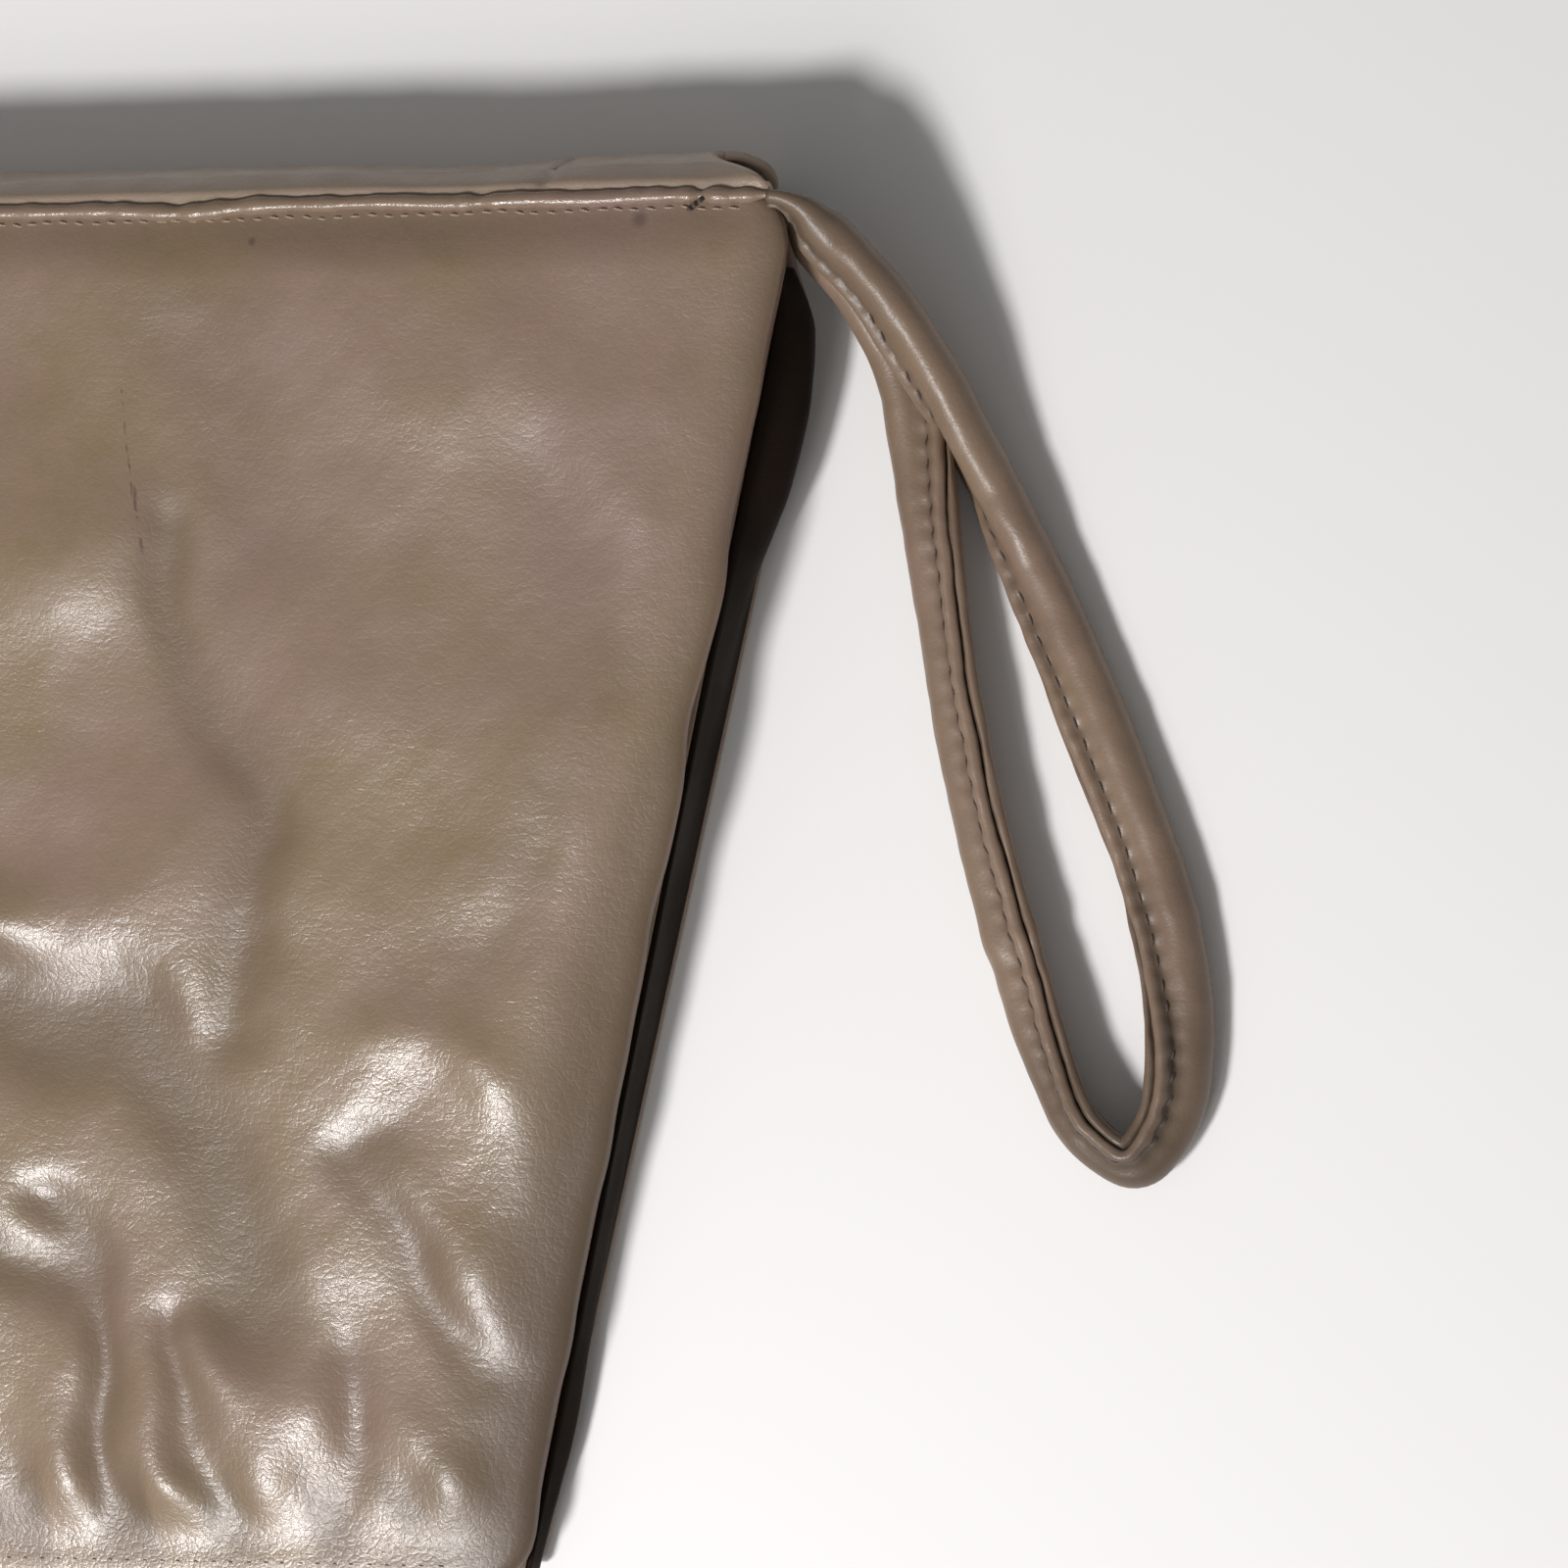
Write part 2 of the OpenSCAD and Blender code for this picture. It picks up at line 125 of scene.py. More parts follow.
# ---------------------------------------------------------------- materials
class Graph:
    """A material's node graph, with short ways to add and join nodes."""

    def __init__(self, name):
        self.material = bpy.data.materials.new(name)
        self.material.use_nodes = True
        self.tree = self.material.node_tree
        self.shader = self.tree.nodes["Principled BSDF"]
        self.place = self.tree.nodes.new("ShaderNodeTexCoord").outputs["Object"]

    def add(self, kind, inputs=None, **settings):
        node = self.tree.nodes.new("ShaderNode" + kind)
        for key, value in settings.items():
            setattr(node, key, value)
        for key, value in (inputs or {}).items():
            self.put(node.inputs[key], value)
        return node

    def put(self, socket, value):
        if isinstance(value, bpy.types.NodeSocket):
            self.tree.links.new(value, socket)
        else:
            socket.default_value = value

    def stretched(self, scale, turn=0.0):
        return self.add("Mapping", {"Vector": self.place, "Scale": scale,
                                    "Rotation": (0, 0, turn)}).outputs["Vector"]

    def noise(self, scale, detail=3.0, rough=0.55, vector=None, distortion=0.0):
        return self.add("TexNoise", {"Vector": vector or self.place, "Scale": scale, "Detail": detail,
                                     "Roughness": rough, "Distortion": distortion}).outputs["Fac"]

    def cells(self, scale, vector=None, feature="DISTANCE_TO_EDGE"):
        return self.add("TexVoronoi", {"Vector": vector or self.place, "Scale": scale},
                        feature=feature).outputs["Distance"]

    def level(self, value, low, high, out_low=0.0, out_high=1.0):
        return self.add("MapRange", {"Value": value, "From Min": low, "From Max": high,
                                     "To Min": out_low, "To Max": out_high}).outputs["Result"]

    def maths(self, what, a, b):
        return self.add("Math", {0: a, 1: b}, operation=what).outputs[0]

    def mix(self, share, a, b, blend="MIX"):
        node = self.add("Mix", data_type="RGBA", blend_type=blend)
        for socket, value in ((0, share), (6, a), (7, b)):
            self.put(node.inputs[socket], value)
        return node.outputs[2]

    def spot(self, x, y, size):
        """A round mark of a size, in mm, at a place on the flap."""
        flat = self.add("VectorMath", {0: self.place, 1: (1, 1, 0)}, operation="MULTIPLY").outputs[0]
        away = self.add("VectorMath", {0: flat, 1: (x * MM, y * MM, 0)}, operation="DISTANCE").outputs["Value"]
        return self.level(away, size * MM, 0.3 * size * MM)

    def scratch(self, start, end, wide):
        """A thin broken line between two places on the flap."""
        (ax, ay), (bx, by) = start, end
        length = math.hypot(bx - ax, by - ay)
        ux, uy = (bx - ax) / length, (by - ay) / length
        away = self.add("VectorMath", {0: self.place, 1: (ax * MM, ay * MM, 0)}, operation="SUBTRACT").outputs[0]
        along = self.add("VectorMath", {0: away, 1: (ux, uy, 0)}, operation="DOT_PRODUCT").outputs["Value"]
        across = self.add("VectorMath", {0: away, 1: (-uy, ux, 0)}, operation="DOT_PRODUCT").outputs["Value"]
        wander = self.level(self.noise(160, 2), 0, 1, -0.5 * MM, 0.5 * MM)
        thin = self.level(self.maths("ABSOLUTE", self.maths("ADD", across, wander), 0.0), wide * MM, 0)
        ends = self.maths("MULTIPLY", self.level(along, 0, 2 * MM), self.level(along, length * MM, (length - 2) * MM))
        broken = self.level(self.noise(420, 2), 0.45, 0.56)
        return self.maths("MULTIPLY", self.maths("MULTIPLY", thin, ends), broken)

    def attribute(self, name):
        return self.add("Attribute", attribute_name=name).outputs["Fac"]

    def relief(self, *layers):
        """Bump layers of (height, strength, depth in mm), the coarsest first."""
        normal = None
        for height, strength, depth in layers:
            inputs = {"Height": height, "Strength": strength, "Distance": depth * MM}
            if normal is not None:
                inputs["Normal"] = normal
            normal = self.add("Bump", inputs).outputs["Normal"]
        self.tree.links.new(normal, self.shader.inputs["Normal"])
        self.tree.links.new(normal, self.shader.inputs["Coat Normal"])

    def set(self, **values):
        for key, value in values.items():
            self.put(self.shader.inputs[key.replace("_", " ")], value)
        return self.material


def tinted(colour, factor):
    return tuple(min(1.0, c * factor) for c in colour[:3]) + (1.0,)


# Marks of use on the flap: spots (across, along, size) and scratches (from, to, width)
SPOTS = [(118.6, 100.6, 1.6), (57.5, 98.6, 0.8), (98.4, -82, 0.9)]
SCRATCHES = [((35.6, 79), (37.2, 60), 0.22), ((37.4, 63), (38.6, 50.5), 0.42)]


def leather(name, pink, olive, gloss=0.38, coat=0.38, wrinkle=1.0, shine=0.42, deepest=0.62, marked=False):
    """Thin glossy nappa: mottled, olive and darkened by painted shade in its folds, lightened by a painted highlight
    on its rims, finely creased and worn where it is handled.
    """
    g = Graph(name)
    blotch = g.level(g.noise(26, 2), 0.36, 0.64)
    tone = g.mix(blotch, pink, olive)
    small = g.level(g.noise(210, 4, 0.6), 0.3, 0.7)
    tone = g.mix(g.maths("MULTIPLY", small, 0.35), tone, tinted(pink, 1.16))
    fine = g.level(g.noise(1500, 3, 0.6), 0.3, 0.7)
    tone = g.mix(g.maths("MULTIPLY", fine, 0.2), tone, tinted(olive, 0.72))
    # painted shade: the fold mark darkens the colour where shade falls in folds, creases and hollows, with an olive
    # tint
    deep = g.attribute("fold")
    tone = g.mix(deep, tone, tinted([(a + b) / 2 for a, b in zip(pink, olive)], deepest))
    # painted highlight: the edge mark lightens rims where the edges catch the light
    rim_highlight = g.attribute("edge")
    tone = g.mix(rim_highlight, tone, tinted(pink, 1.5))
    if marked:
        for spot in SPOTS:
            tone = g.mix(g.maths("MULTIPLY", g.spot(*spot), 0.6), tone, tinted(pink, 0.32))
        for scratch in SCRATCHES:
            tone = g.mix(g.maths("MULTIPLY", g.scratch(*scratch), 0.75), tone, tinted(pink, 0.22))
    bent = g.mix(0.0016, g.place, g.add("TexNoise", {"Vector": g.place, "Scale": 300.0}).outputs["Color"], "ADD")
    crack = g.level(g.cells(760, bent), 0.0, 0.18)
    hairs = g.noise(210, 4, 0.7, g.stretched((1.0, 3.0, 1.0), -0.9), 1.2)
    dimples = g.noise(150, 3, 0.5, distortion=0.6)
    pores = g.noise(2400, 3, 0.7)
    worked = 0.6
    if marked:                                  # handling has polished and creased the flap's lower half
        y = g.add("SeparateXYZ", {0: g.place}).outputs["Y"]
        coat = g.maths("MULTIPLY", g.level(y, 60 * MM, -15 * MM, 0.2 * coat, 1.15 * coat), g.level(deep, 0, 1, 1, 0.1))
        worked = g.level(y, 70 * MM, -20 * MM, 0.42, 0.5)
    crack = g.maths("MULTIPLY", crack, worked)
    hairs = g.maths("MULTIPLY", hairs, worked)
    g.relief((dimples, 0.13 * wrinkle, 0.7), (hairs, 0.22 * wrinkle, 0.45),
             (crack, 0.20 * wrinkle, 0.13), (pores, 0.25, 0.13))
    rough = g.level(g.noise(70, 4, 0.6), 0.3, 0.7, gloss - 0.06, gloss + 0.08)
    return g.set(Base_Color=tone, Roughness=rough, Specular_IOR_Level=shine,
                 Coat_Weight=coat, Coat_Roughness=0.15, Coat_IOR=1.5)


def cloth(name, colour, pitch=0.45, sheen=0.25):
    """Twill weave: fine diagonal ribs crossed by threads, a little uneven."""
    g = Graph(name)
    ribs = g.add("TexWave", {"Vector": g.stretched((1, 1, 1), 0.8), "Scale": 0.5 / (pitch * MM * 2 * math.pi) * 2,
                             "Distortion": 0.6, "Detail": 1.0}, wave_type="BANDS").outputs["Fac"]
    threads = g.add("TexWave", {"Vector": g.place, "Scale": 1.2 / (pitch * MM * 2 * math.pi) * 2,
                                "Distortion": 0.4, "Detail": 1.0}, wave_type="BANDS",
                    bands_direction="Y").outputs["Fac"]
    tone = g.mix(ribs, tinted(colour, 0.72), tinted(colour, 1.15))
    tone = g.mix(g.maths("MULTIPLY", g.noise(60, 4), 0.35), tone, tinted(colour, 0.6))
    g.relief((g.noise(45, 3), 0.25, 0.8), (ribs, 0.5, 0.12), (threads, 0.4, 0.06))
    return g.set(Base_Color=tone, Roughness=0.82, Sheen_Weight=sheen, Sheen_Roughness=0.45)


def fibre_board(name, colour):
    g = Graph(name)
    fibres = g.noise(500, 5, 0.7, g.stretched((1, 4, 1), 0.3))
    tone = g.mix(g.level(fibres, 0.3, 0.7), tinted(colour, 0.75), tinted(colour, 1.15))
    g.relief((fibres, 0.4, 0.1))
    return g.set(Base_Color=tone, Roughness=0.9)


def metal(name, colour, roughness):
    """Plated metal with rubbed high spots, dull film in the low ones and fine scratches."""
    g = Graph(name)
    film = g.level(g.noise(260, 4, 0.6), 0.35, 0.7)
    tone = g.mix(film, tinted(colour, 1.1), tinted(colour, 0.55))
    scratches = g.noise(900, 3, 0.7, g.stretched((1, 9, 1), 0.6))
    rough = g.level(film, 0.0, 1.0, roughness, roughness + 0.22)
    g.relief((scratches, 0.25, 0.03), (g.noise(1800, 2), 0.15, 0.02))
    return g.set(Base_Color=tone, Metallic=1.0, Roughness=rough)


def ferrite(name, colour):
    g = Graph(name)
    grain = g.noise(1600, 4, 0.7)
    g.relief((grain, 0.35, 0.06))
    return g.set(Base_Color=g.mix(grain, tinted(colour, 0.7), tinted(colour, 1.5)), Roughness=0.6)


def thread(name, colour):
    """Twisted sewing thread."""
    g = Graph(name)
    ply = g.add("TexWave", {"Vector": g.stretched((1, 1, 1), 0.6), "Scale": 700.0, "Distortion": 1.0},
                wave_type="BANDS").outputs["Fac"]
    g.relief((ply, 0.6, 0.08))
    return g.set(Base_Color=g.mix(ply, tinted(colour, 0.7), tinted(colour, 1.2)), Roughness=0.6,
                 Sheen_Weight=0.3)


def floor_finish():
    g = Graph("studio_floor")
    tone = g.mix(g.noise(4, 2), (0.93, 0.93, 0.93, 1), (0.96, 0.96, 0.96, 1))
    return g.set(Base_Color=tone, Roughness=0.9, Specular_IOR_Level=0.1)


PINK = (0.266, 0.180, 0.143, 1)
OLIVE = (0.234, 0.169, 0.094, 1)
FINISH = {
    "shell_leather": leather("shell_leather", PINK, OLIVE),
    "strap_leather": leather("strap_leather", (0.258, 0.178, 0.132, 1), (0.234, 0.168, 0.106, 1), 0.42, 0.08, 0.7,
                             deepest=0.40),
    "lining_cloth": cloth("lining_cloth", (0.12, 0.09, 0.07)),
    "stiffener_board": fibre_board("stiffener_board", (0.62, 0.5, 0.33)),
    "zip_tape_cloth": cloth("zip_tape_cloth", (0.14, 0.1, 0.075), 0.6, 0.15),
    "zip_metal": metal("zip_metal", (0.6, 0.46, 0.24), 0.28),
    "snap_metal": metal("snap_metal", (0.58, 0.46, 0.27), 0.22),
    "magnet_ferrite": ferrite("magnet_ferrite", (0.06, 0.06, 0.065)),
    "strap_filler": cloth("strap_filler", (0.7, 0.63, 0.5), 0.9, 0.3),
}
FLAP_FINISH = leather("flap_leather", PINK, OLIVE, deepest=0.45, marked=True)
# painted shade: the gussets' and base strip's leather is near-black for the deep shade under the flap's overhang
SHADED_GUSSET_FINISH = leather("gusset_leather_painted_shade", (0.018, 0.011, 0.008, 1), (0.015, 0.010, 0.006, 1), 0.6, 0.0, 1.0, 0.06)
# painted light: the spine band's leather is lighter than the shell's, for the light its rounded top catches from above
LIT_BAND_FINISH = leather("spine_leather_painted_light", (0.350, 0.262, 0.205, 1), (0.330, 0.258, 0.190, 1), 0.36, 0.2)
DARK_THREAD = thread("dark_thread", (0.075, 0.045, 0.032))
TAUPE_THREAD = thread("taupe_thread", (0.36, 0.27, 0.21))

for entry in frame["record"]["subparts"]:
    node = frame["nodes"][entry["node"]]
    node.data.materials.clear()
    node.data.materials.append(FINISH[entry["material_slot"]])


# ---------------------------------------------------------------- meshes
def piece(name, points, faces, finish, slot=None, **marks):
    """A smooth mesh from points in millimetres. Marks are values per point that its material reads."""
    mesh = bpy.data.meshes.new(name)
    mesh.from_pydata((np.asarray(points, float) * MM).tolist(), [], faces)
    mesh.polygons.foreach_set("use_smooth", [True] * len(mesh.polygons))
    for key, values in marks.items():
        mesh.attributes.new(key, "FLOAT", "POINT").data.foreach_set(
            "value", np.clip(np.asarray(values, np.float32).ravel(), 0, 1))
    mesh.materials.append(finish)
    mesh.update()
    made = bpy.data.objects.new(name, mesh)
    bpy.context.scene.collection.objects.link(made)
    return made


def grid_faces(rows, cols, first=0, flip=False, wrap=False):
    """Quads over a grid of points. Wrap joins the last column to the first."""
    i, j = np.meshgrid(np.arange(rows - 1), np.arange(cols if wrap else cols - 1), indexing="ij")
    k = (j + 1) % cols
    quads = np.stack([i * cols + j, i * cols + k, (i + 1) * cols + k, (i + 1) * cols + j], -1).reshape(-1, 4) + first
    return (quads[:, ::-1] if flip else quads).tolist()


def rim(rows, cols):
    """A grid's outer points in order."""
    return ([j for j in range(cols)] + [i * cols + cols - 1 for i in range(1, rows)]
            + [(rows - 1) * cols + j for j in range(cols - 2, -1, -1)] + [i * cols for i in range(rows - 2, 0, -1)])


def closed_sheet(name, top, bottom, finish, slot=None, **marks):
    """A thin closed sheet between two grids of the same size, the upper one facing out."""
    rows, cols = top.shape[:2]
    count = rows * cols
    edge = rim(rows, cols)
    faces = grid_faces(rows, cols, 0, True) + grid_faces(rows, cols, count)
    faces += [[a, b, b + count, a + count] for a, b in zip(edge, edge[1:] + edge[:1])]
    points = np.concatenate([top.reshape(-1, 3), bottom.reshape(-1, 3)])
    doubled = {key: np.concatenate([np.ravel(value)] * 2) for key, value in marks.items()}
    return piece(name, points, faces, finish, slot, **doubled)


def spread(low, high, step):
    return np.linspace(low, high, max(2, int(round((high - low) / step)) + 1))


def rounded_half(v, start, end, radius=CORNER_R):
    """Half width at each row of a panel whose corners are rounded at both ends."""
    inset = 0
    for gap in (v - start, end - v):
        inset = inset + radius * (1 - np.sqrt(np.clip(gap / radius, 0, 1))) ** 2
    return half(v) - inset


def row_places(start, end, step, radius=CORNER_R):
    """Rows that crowd together where the corners are rounded."""
    near = radius * (np.arange(7) / 7) ** 2
    return np.concatenate([start + near, spread(start + radius, end - radius, step), end - near[::-1]])


def tucked(v):
    """How far the pouch's top corners are drawn in, where the soft spine gathers them."""
    return 6.0 * smooth((23 - v) / 15)


def panel_grid(start, end, step, inset=0.0, radius=CORNER_R):
    """Across and down values over the wallet's tapering outline, and the distance to its free sides."""
    v = row_places(start, end, step, radius)
    u = np.linspace(-1, 1, int(2 * HALF_TOP / step))
    u = np.sign(u) * (1 - (1 - np.abs(u)) ** 1.12)
    wide = rounded_half(v, start, end, radius) - inset
    x = u[None, :] * wide[:, None]
    down = np.repeat(v[:, None], len(u), 1)
    side = wide[:, None] - np.abs(x)
    return x, down, side


def edge_fall(d, reach, drop):
    """How far a turned edge rolls down, at a distance in from it."""
    t = np.clip(1 - d / reach, 0, 1)
    return -drop * (1 - np.sqrt(1 - t * t))


def stitch_row(name, path, up, pitch, length, width, finish, skip=0.0, seed=5):
    """Short bowed stitches along a path. Up is the way out of the surface at each path point."""
    path, up = np.asarray(path, float), np.asarray(up, float)
    run = np.concatenate([[0], np.cumsum(np.linalg.norm(np.diff(path, axis=0), axis=1))])
    rng = np.random.default_rng(seed)
    points, faces = [], []
    sides, rings = 6, 6
    for start in np.arange(pitch / 2, run[-1] - length, pitch):
        if rng.uniform() < skip:
            continue
        centre = start + rng.uniform(-0.08, 0.08) * pitch
        at = [centre + length * t for t in np.linspace(0, 1, rings)]
        line = np.stack([np.interp(at, run, path[:, k]) for k in range(3)], -1)
        out = np.stack([np.interp(at, run, up[:, k]) for k in range(3)], -1)
        out /= np.linalg.norm(out, axis=1)[:, None]
        along = np.gradient(line, axis=0)
        along /= np.linalg.norm(along, axis=1)[:, None]
        across = np.cross(along, out)
        line = line + across * (np.linspace(-0.5, 0.5, rings)[:, None] * width * rng.uniform(0.2, 0.9))
        for r in range(rings):
            t = r / (rings - 1)
            lift = width * (0.62 * math.sin(math.pi * t) - 0.42)
            girth = width / 2 * (0.45 + 0.55 * math.sin(math.pi * min(1, max(0, t))) ** 0.5)
            for k in range(sides):
                a = 2 * math.pi * k / sides
                points.append(line[r] + out[r] * (lift + girth * math.sin(a)) + across[r] * girth * math.cos(a))
        first = len(points) - sides * rings
        faces += grid_faces(rings, sides, first, wrap=True)
        faces += [[first + k for k in range(sides)], [first + (rings - 1) * sides + k for k in range(sides)][::-1]]
    return piece(name, points, faces, finish)


# ---------------------------------------------------------------- flap
# Valleys in the flap's loose leather: points across and along the wallet, half width, depth
VALLEYS = [
    ([(43, 98), (47, 88), (53, 76), (58, 56)], 7.5, 0.5),
    ([(40, 54), (44, 40), (51, 22), (55, 8), (53, -4), (52, -22)], 4.6, 1.0),
    ([(8, -13), (18, -18), (34, -19), (43, -33), (49, -50), (52, -60)], 7.0, 1.4),
    ([(22, -46), (25, -65), (27, -81), (30, -96)], 4.0, 1.2),
    ([(3, -48), (13, -55), (20, -60)], 4.6, 1.2),
    ([(43, -68), (45, -84), (46, -98)], 3.6, 0.9),
    ([(64, -72), (66, -86), (66, -98)], 4.2, 0.8),
    ([(72, -40), (76, -47), (83, -59), (92, -72)], 4.4, 1.1),
    ([(104, 60), (109, 46), (111, 32)], 7.0, 0.4),
    ([(101, 14), (90, -8), (84, -14)], 5.5, 0.4),
    ([(-20, 84), (-31, 66), (-34, 45)], 6.8, 0.7),
    ([(-58, 62), (-66, 40), (-63, 18), (-70, -2)], 5.4, 1.0),
    ([(-96, 72), (-102, 52), (-97, 34)], 6.6, 0.6),
    ([(-12, 20), (-20, 2), (-34, -12), (-40, -30)], 6.6, 1.2),
    ([(-62, -30), (-70, -48), (-66, -66), (-70, -88)], 5.0, 1.2),
    ([(-24, -60), (-27, -78), (-22, -96)], 4.2, 1.0),
    ([(-46, -66), (-44, -82), (-48, -97)], 4.0, 0.9),
    ([(-88, -6), (-84, -26), (-90, -44)], 5.2, 0.8),
]
# Raised places: across, along, half length, half width, turn in degrees, height
PUFFS = [
    (4, -7, 21, 7.5, 16, 2.8), (28, 52, 13, 8, 10, 0.9), (115, 63, 13, 8, -60, 0.6), (93, 6, 12, 8, 40, 0.9),
    (91, -24, 9, 6.5, -50, 1.0), (75, -21, 11, 6.5, 30, 0.85), (83, -51, 17, 6.4, -47, 1.3),
    (38, -84, 10, 6.6, -70, 1.0), (56, -77, 10, 7.5, -60, 1.3), (78, -84, 11, 8.0, -40, 1.25),
    (18, -78, 11, 6.0, -70, 1.0), (5, -86, 9, 6.0, -80, 0.9), (62, -58, 14, 8, 20, 0.4), (48, -68, 8, 5, 60, 0.7),
    (92, -91, 9, 5.5, 15, 0.5), (40, 6, 22, 9, 75, 0.7), (76, 34, 28, 15, 80, 0.5), (34, -36, 12, 7, -55, 0.35),
    (-12, 44, 20, 10, 40, 0.9), (-48, 30, 20, 9, 75, 1.0), (-82, 30, 22, 10, 65, 0.9), (-110, 60, 15, 10, 60, 0.8),
    (-30, -38, 14, 8, -55, 1.2), (-54, -52, 14, 8, 80, 1.2), (-78, -62, 12, 7, 70, 1.2), (-35, -82, 11, 6.6, 80, 1.4),
    (-12, -80, 11, 6.6, 75, 1.4), (-60, -86, 10, 6.6, 75, 1.3), (-100, -10, 12, 9, 60, 0.9),
]


def distance_to(points, x, y):
    """Distance from each place to a bent line."""
    nearest = np.full(np.shape(x), 1e9)
    for (ax, ay), (bx, by) in zip(points, points[1:]):
        dx, dy = bx - ax, by - ay
        t = np.clip(((x - ax) * dx + (y - ay) * dy) / (dx * dx + dy * dy), 0, 1)
        nearest = np.minimum(nearest, np.hypot(x - ax - t * dx, y - ay - t * dy))
    return nearest


def curved(points, steps=6):
    """More points along a smooth curve through the given ones."""
    p = np.asarray(points, float)
    padded = np.concatenate([[2 * p[0] - p[1]], p, [2 * p[-1] - p[-2]]])
    line = []
    for i in range(len(p) - 1):
        a, b, c, d = padded[i:i + 4]
        for t in np.arange(steps) / steps:
            line.append(0.5 * (2 * b + (c - a) * t + (2 * a - 5 * b + 4 * c - d) * t * t
                               + (3 * b - a - 3 * c + d) * t ** 3))
    return np.array(line + [p[-1]])


def flap_relief(x, v, side):
    """How far the flap's leather stands off its board, and how deep in a fold each place is, which sets how much
    painted shade it gets.
    """
    y = FOLD_Y - v
    bend_x, bend_y = x + 2.2 * waves(x, y, 15, 3), y + 2.2 * waves(x, y, 15, 4)
    rise = 1.5 + 0.55 * waves(x, y, 34, 11) + 0.10 * waves(x, y, 9, 12)
    rise = rise + 0.022 * waves(x, y, 3.4, 13, stretch=2.5, turn=0.75)
    for px, py, long, wide, turn, height in PUFFS:
        c, s = math.cos(math.radians(turn)), math.sin(math.radians(turn))
        a, b = (bend_x - px) * c + (bend_y - py) * s, -(bend_x - px) * s + (bend_y - py) * c
        rise = rise + height * np.exp(-(a / long) ** 2 - (b / wide) ** 2)
    deep = np.zeros(np.shape(x))
    for points, width, depth in VALLEYS:
        d = distance_to(curved(points, 4), bend_x, bend_y)
        rise = rise - depth * bump(d, width)
        # painted shade: darker, olive colour along each valley
        deep = np.maximum(deep, min(1, depth / 1.6) * bump(d, width * 1.5))
    # gathered into short pleats by the bottom hem and, more finely, by the seam at the fold
    foot = BODY_H - 4.5 - v
    pleats = waves(x, y * 0.22, 7.5, 21)
    rise = rise + 0.40 * pleats * smooth(1 - np.abs(foot - 9) / 16)
    # painted shade in the hollows between the pleats near the hem
    deep = np.maximum(deep, smooth(0.4 - 1.2 * pleats) * smooth(1 - np.abs(foot - 6) / 14))
    head = v - RIDGE_V
    rise = rise + 0.22 * waves(x, y * 0.25, 4.5, 22) * smooth(1 - head / 9)
    rise = rise + 0.35 * bump(x - 129, 3.0) * bump(head - 4, 3.0)
    near = smooth(side / 16) * smooth(foot / 12) * smooth((head - 0.4) / 10)
    rise = 0.25 + 0.4 * np.log1p(np.exp((rise - 0.25) / 0.4))       # settles softly on to the board
    return rise * near, deep * smooth(side / 12)


def flap_leather():
    """The flap's outer leather: puffed and creased on top, turned down and under at its free edges."""
    x, v, side = panel_grid(HINGE_GAP, BODY_H, 1.15)
    x = x * (1 - 1.7 * smooth((11.5 - v) / 8.5) / half(v))
    rise, deep = flap_relief(x, v, side)
    foot = BODY_H - v
    gap = np.minimum(side, foot)
    wobble = 0.35 * waves(v, np.sign(x) * 40, 11, 31) * smooth(1 - side / 6) * smooth((v - 14) / 12)
    low_down = smooth((v - 60) / 120)
    rise = rise + edge_fall(gap, 3.2, 0.8) + edge_fall(side, 7 + 8 * low_down, 0.8 + 1.1 * low_down)
    # painted shade along the free sides, where the leather rolls away from the light, wider and darker towards the
    # bottom
    deep = np.maximum(0.7 * deep, (0.55 + 0.45 * low_down) * smooth(1 - side / (9 + 20 * low_down)))
    top = on_slope(x + np.sign(x) * wobble, v, rise)
    rows, cols = x.shape
    edge = rim(rows, cols)
    ex, ev = (x + np.sign(x) * wobble).ravel()[edge], v.ravel()[edge]
    middle_v = BODY_H / 2

    def loop(inset, depth):
        """The outline drawn in by an inset, at a depth below the flap's face."""
        k = 1 - inset / np.maximum(1, np.abs(ex))
        return on_slope(ex * k, ev + (middle_v - ev) * inset / middle_v, -depth)

    turned = np.maximum(1.7, 0.2 - rise.ravel()[edge])
    loops = [loop(0.15, turned), loop(0.8, np.maximum(2.3, turned + 0.1)), loop(4.4, 2.35), loop(4.6, LEATHER)]
    points = np.concatenate([top.reshape(-1, 3)] + loops)
    faces, count, n = grid_faces(rows, cols, 0, True), rows * cols, len(edge)
    rings = [edge] + [[count + k * n + i for i in range(n)] for k in range(len(loops))]
    for a, b in zip(rings, rings[1:]):
        faces += [[a[i], a[(i + 1) % n], b[(i + 1) % n], b[i]] for i in range(n)]
    faces.append(rings[-1])
    under = np.zeros(n * len(loops))
    # painted highlight: a pale rim along the edges where they catch the light, fading lower down the sides
    pale = 1 - 0.8 * low_down * (side < foot)
    lip = np.concatenate([(0.6 * pale * bump(gap, 0.35)).ravel(), (0.6 * pale).ravel()[edge], np.repeat([0.2, 0, 0], n)])
    # painted shade in a band just below the seam ridge; the turned-under loops get none
    dim = np.concatenate([np.maximum(deep, 0.32 * bump(v - 6.2, 3.2)).ravel(), under])
    made = piece("flap_leather", points, faces, FLAP_FINISH, "shell_leather", fold=dim, edge=lip)
    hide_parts("flap_panel")
    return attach(made, "flap")


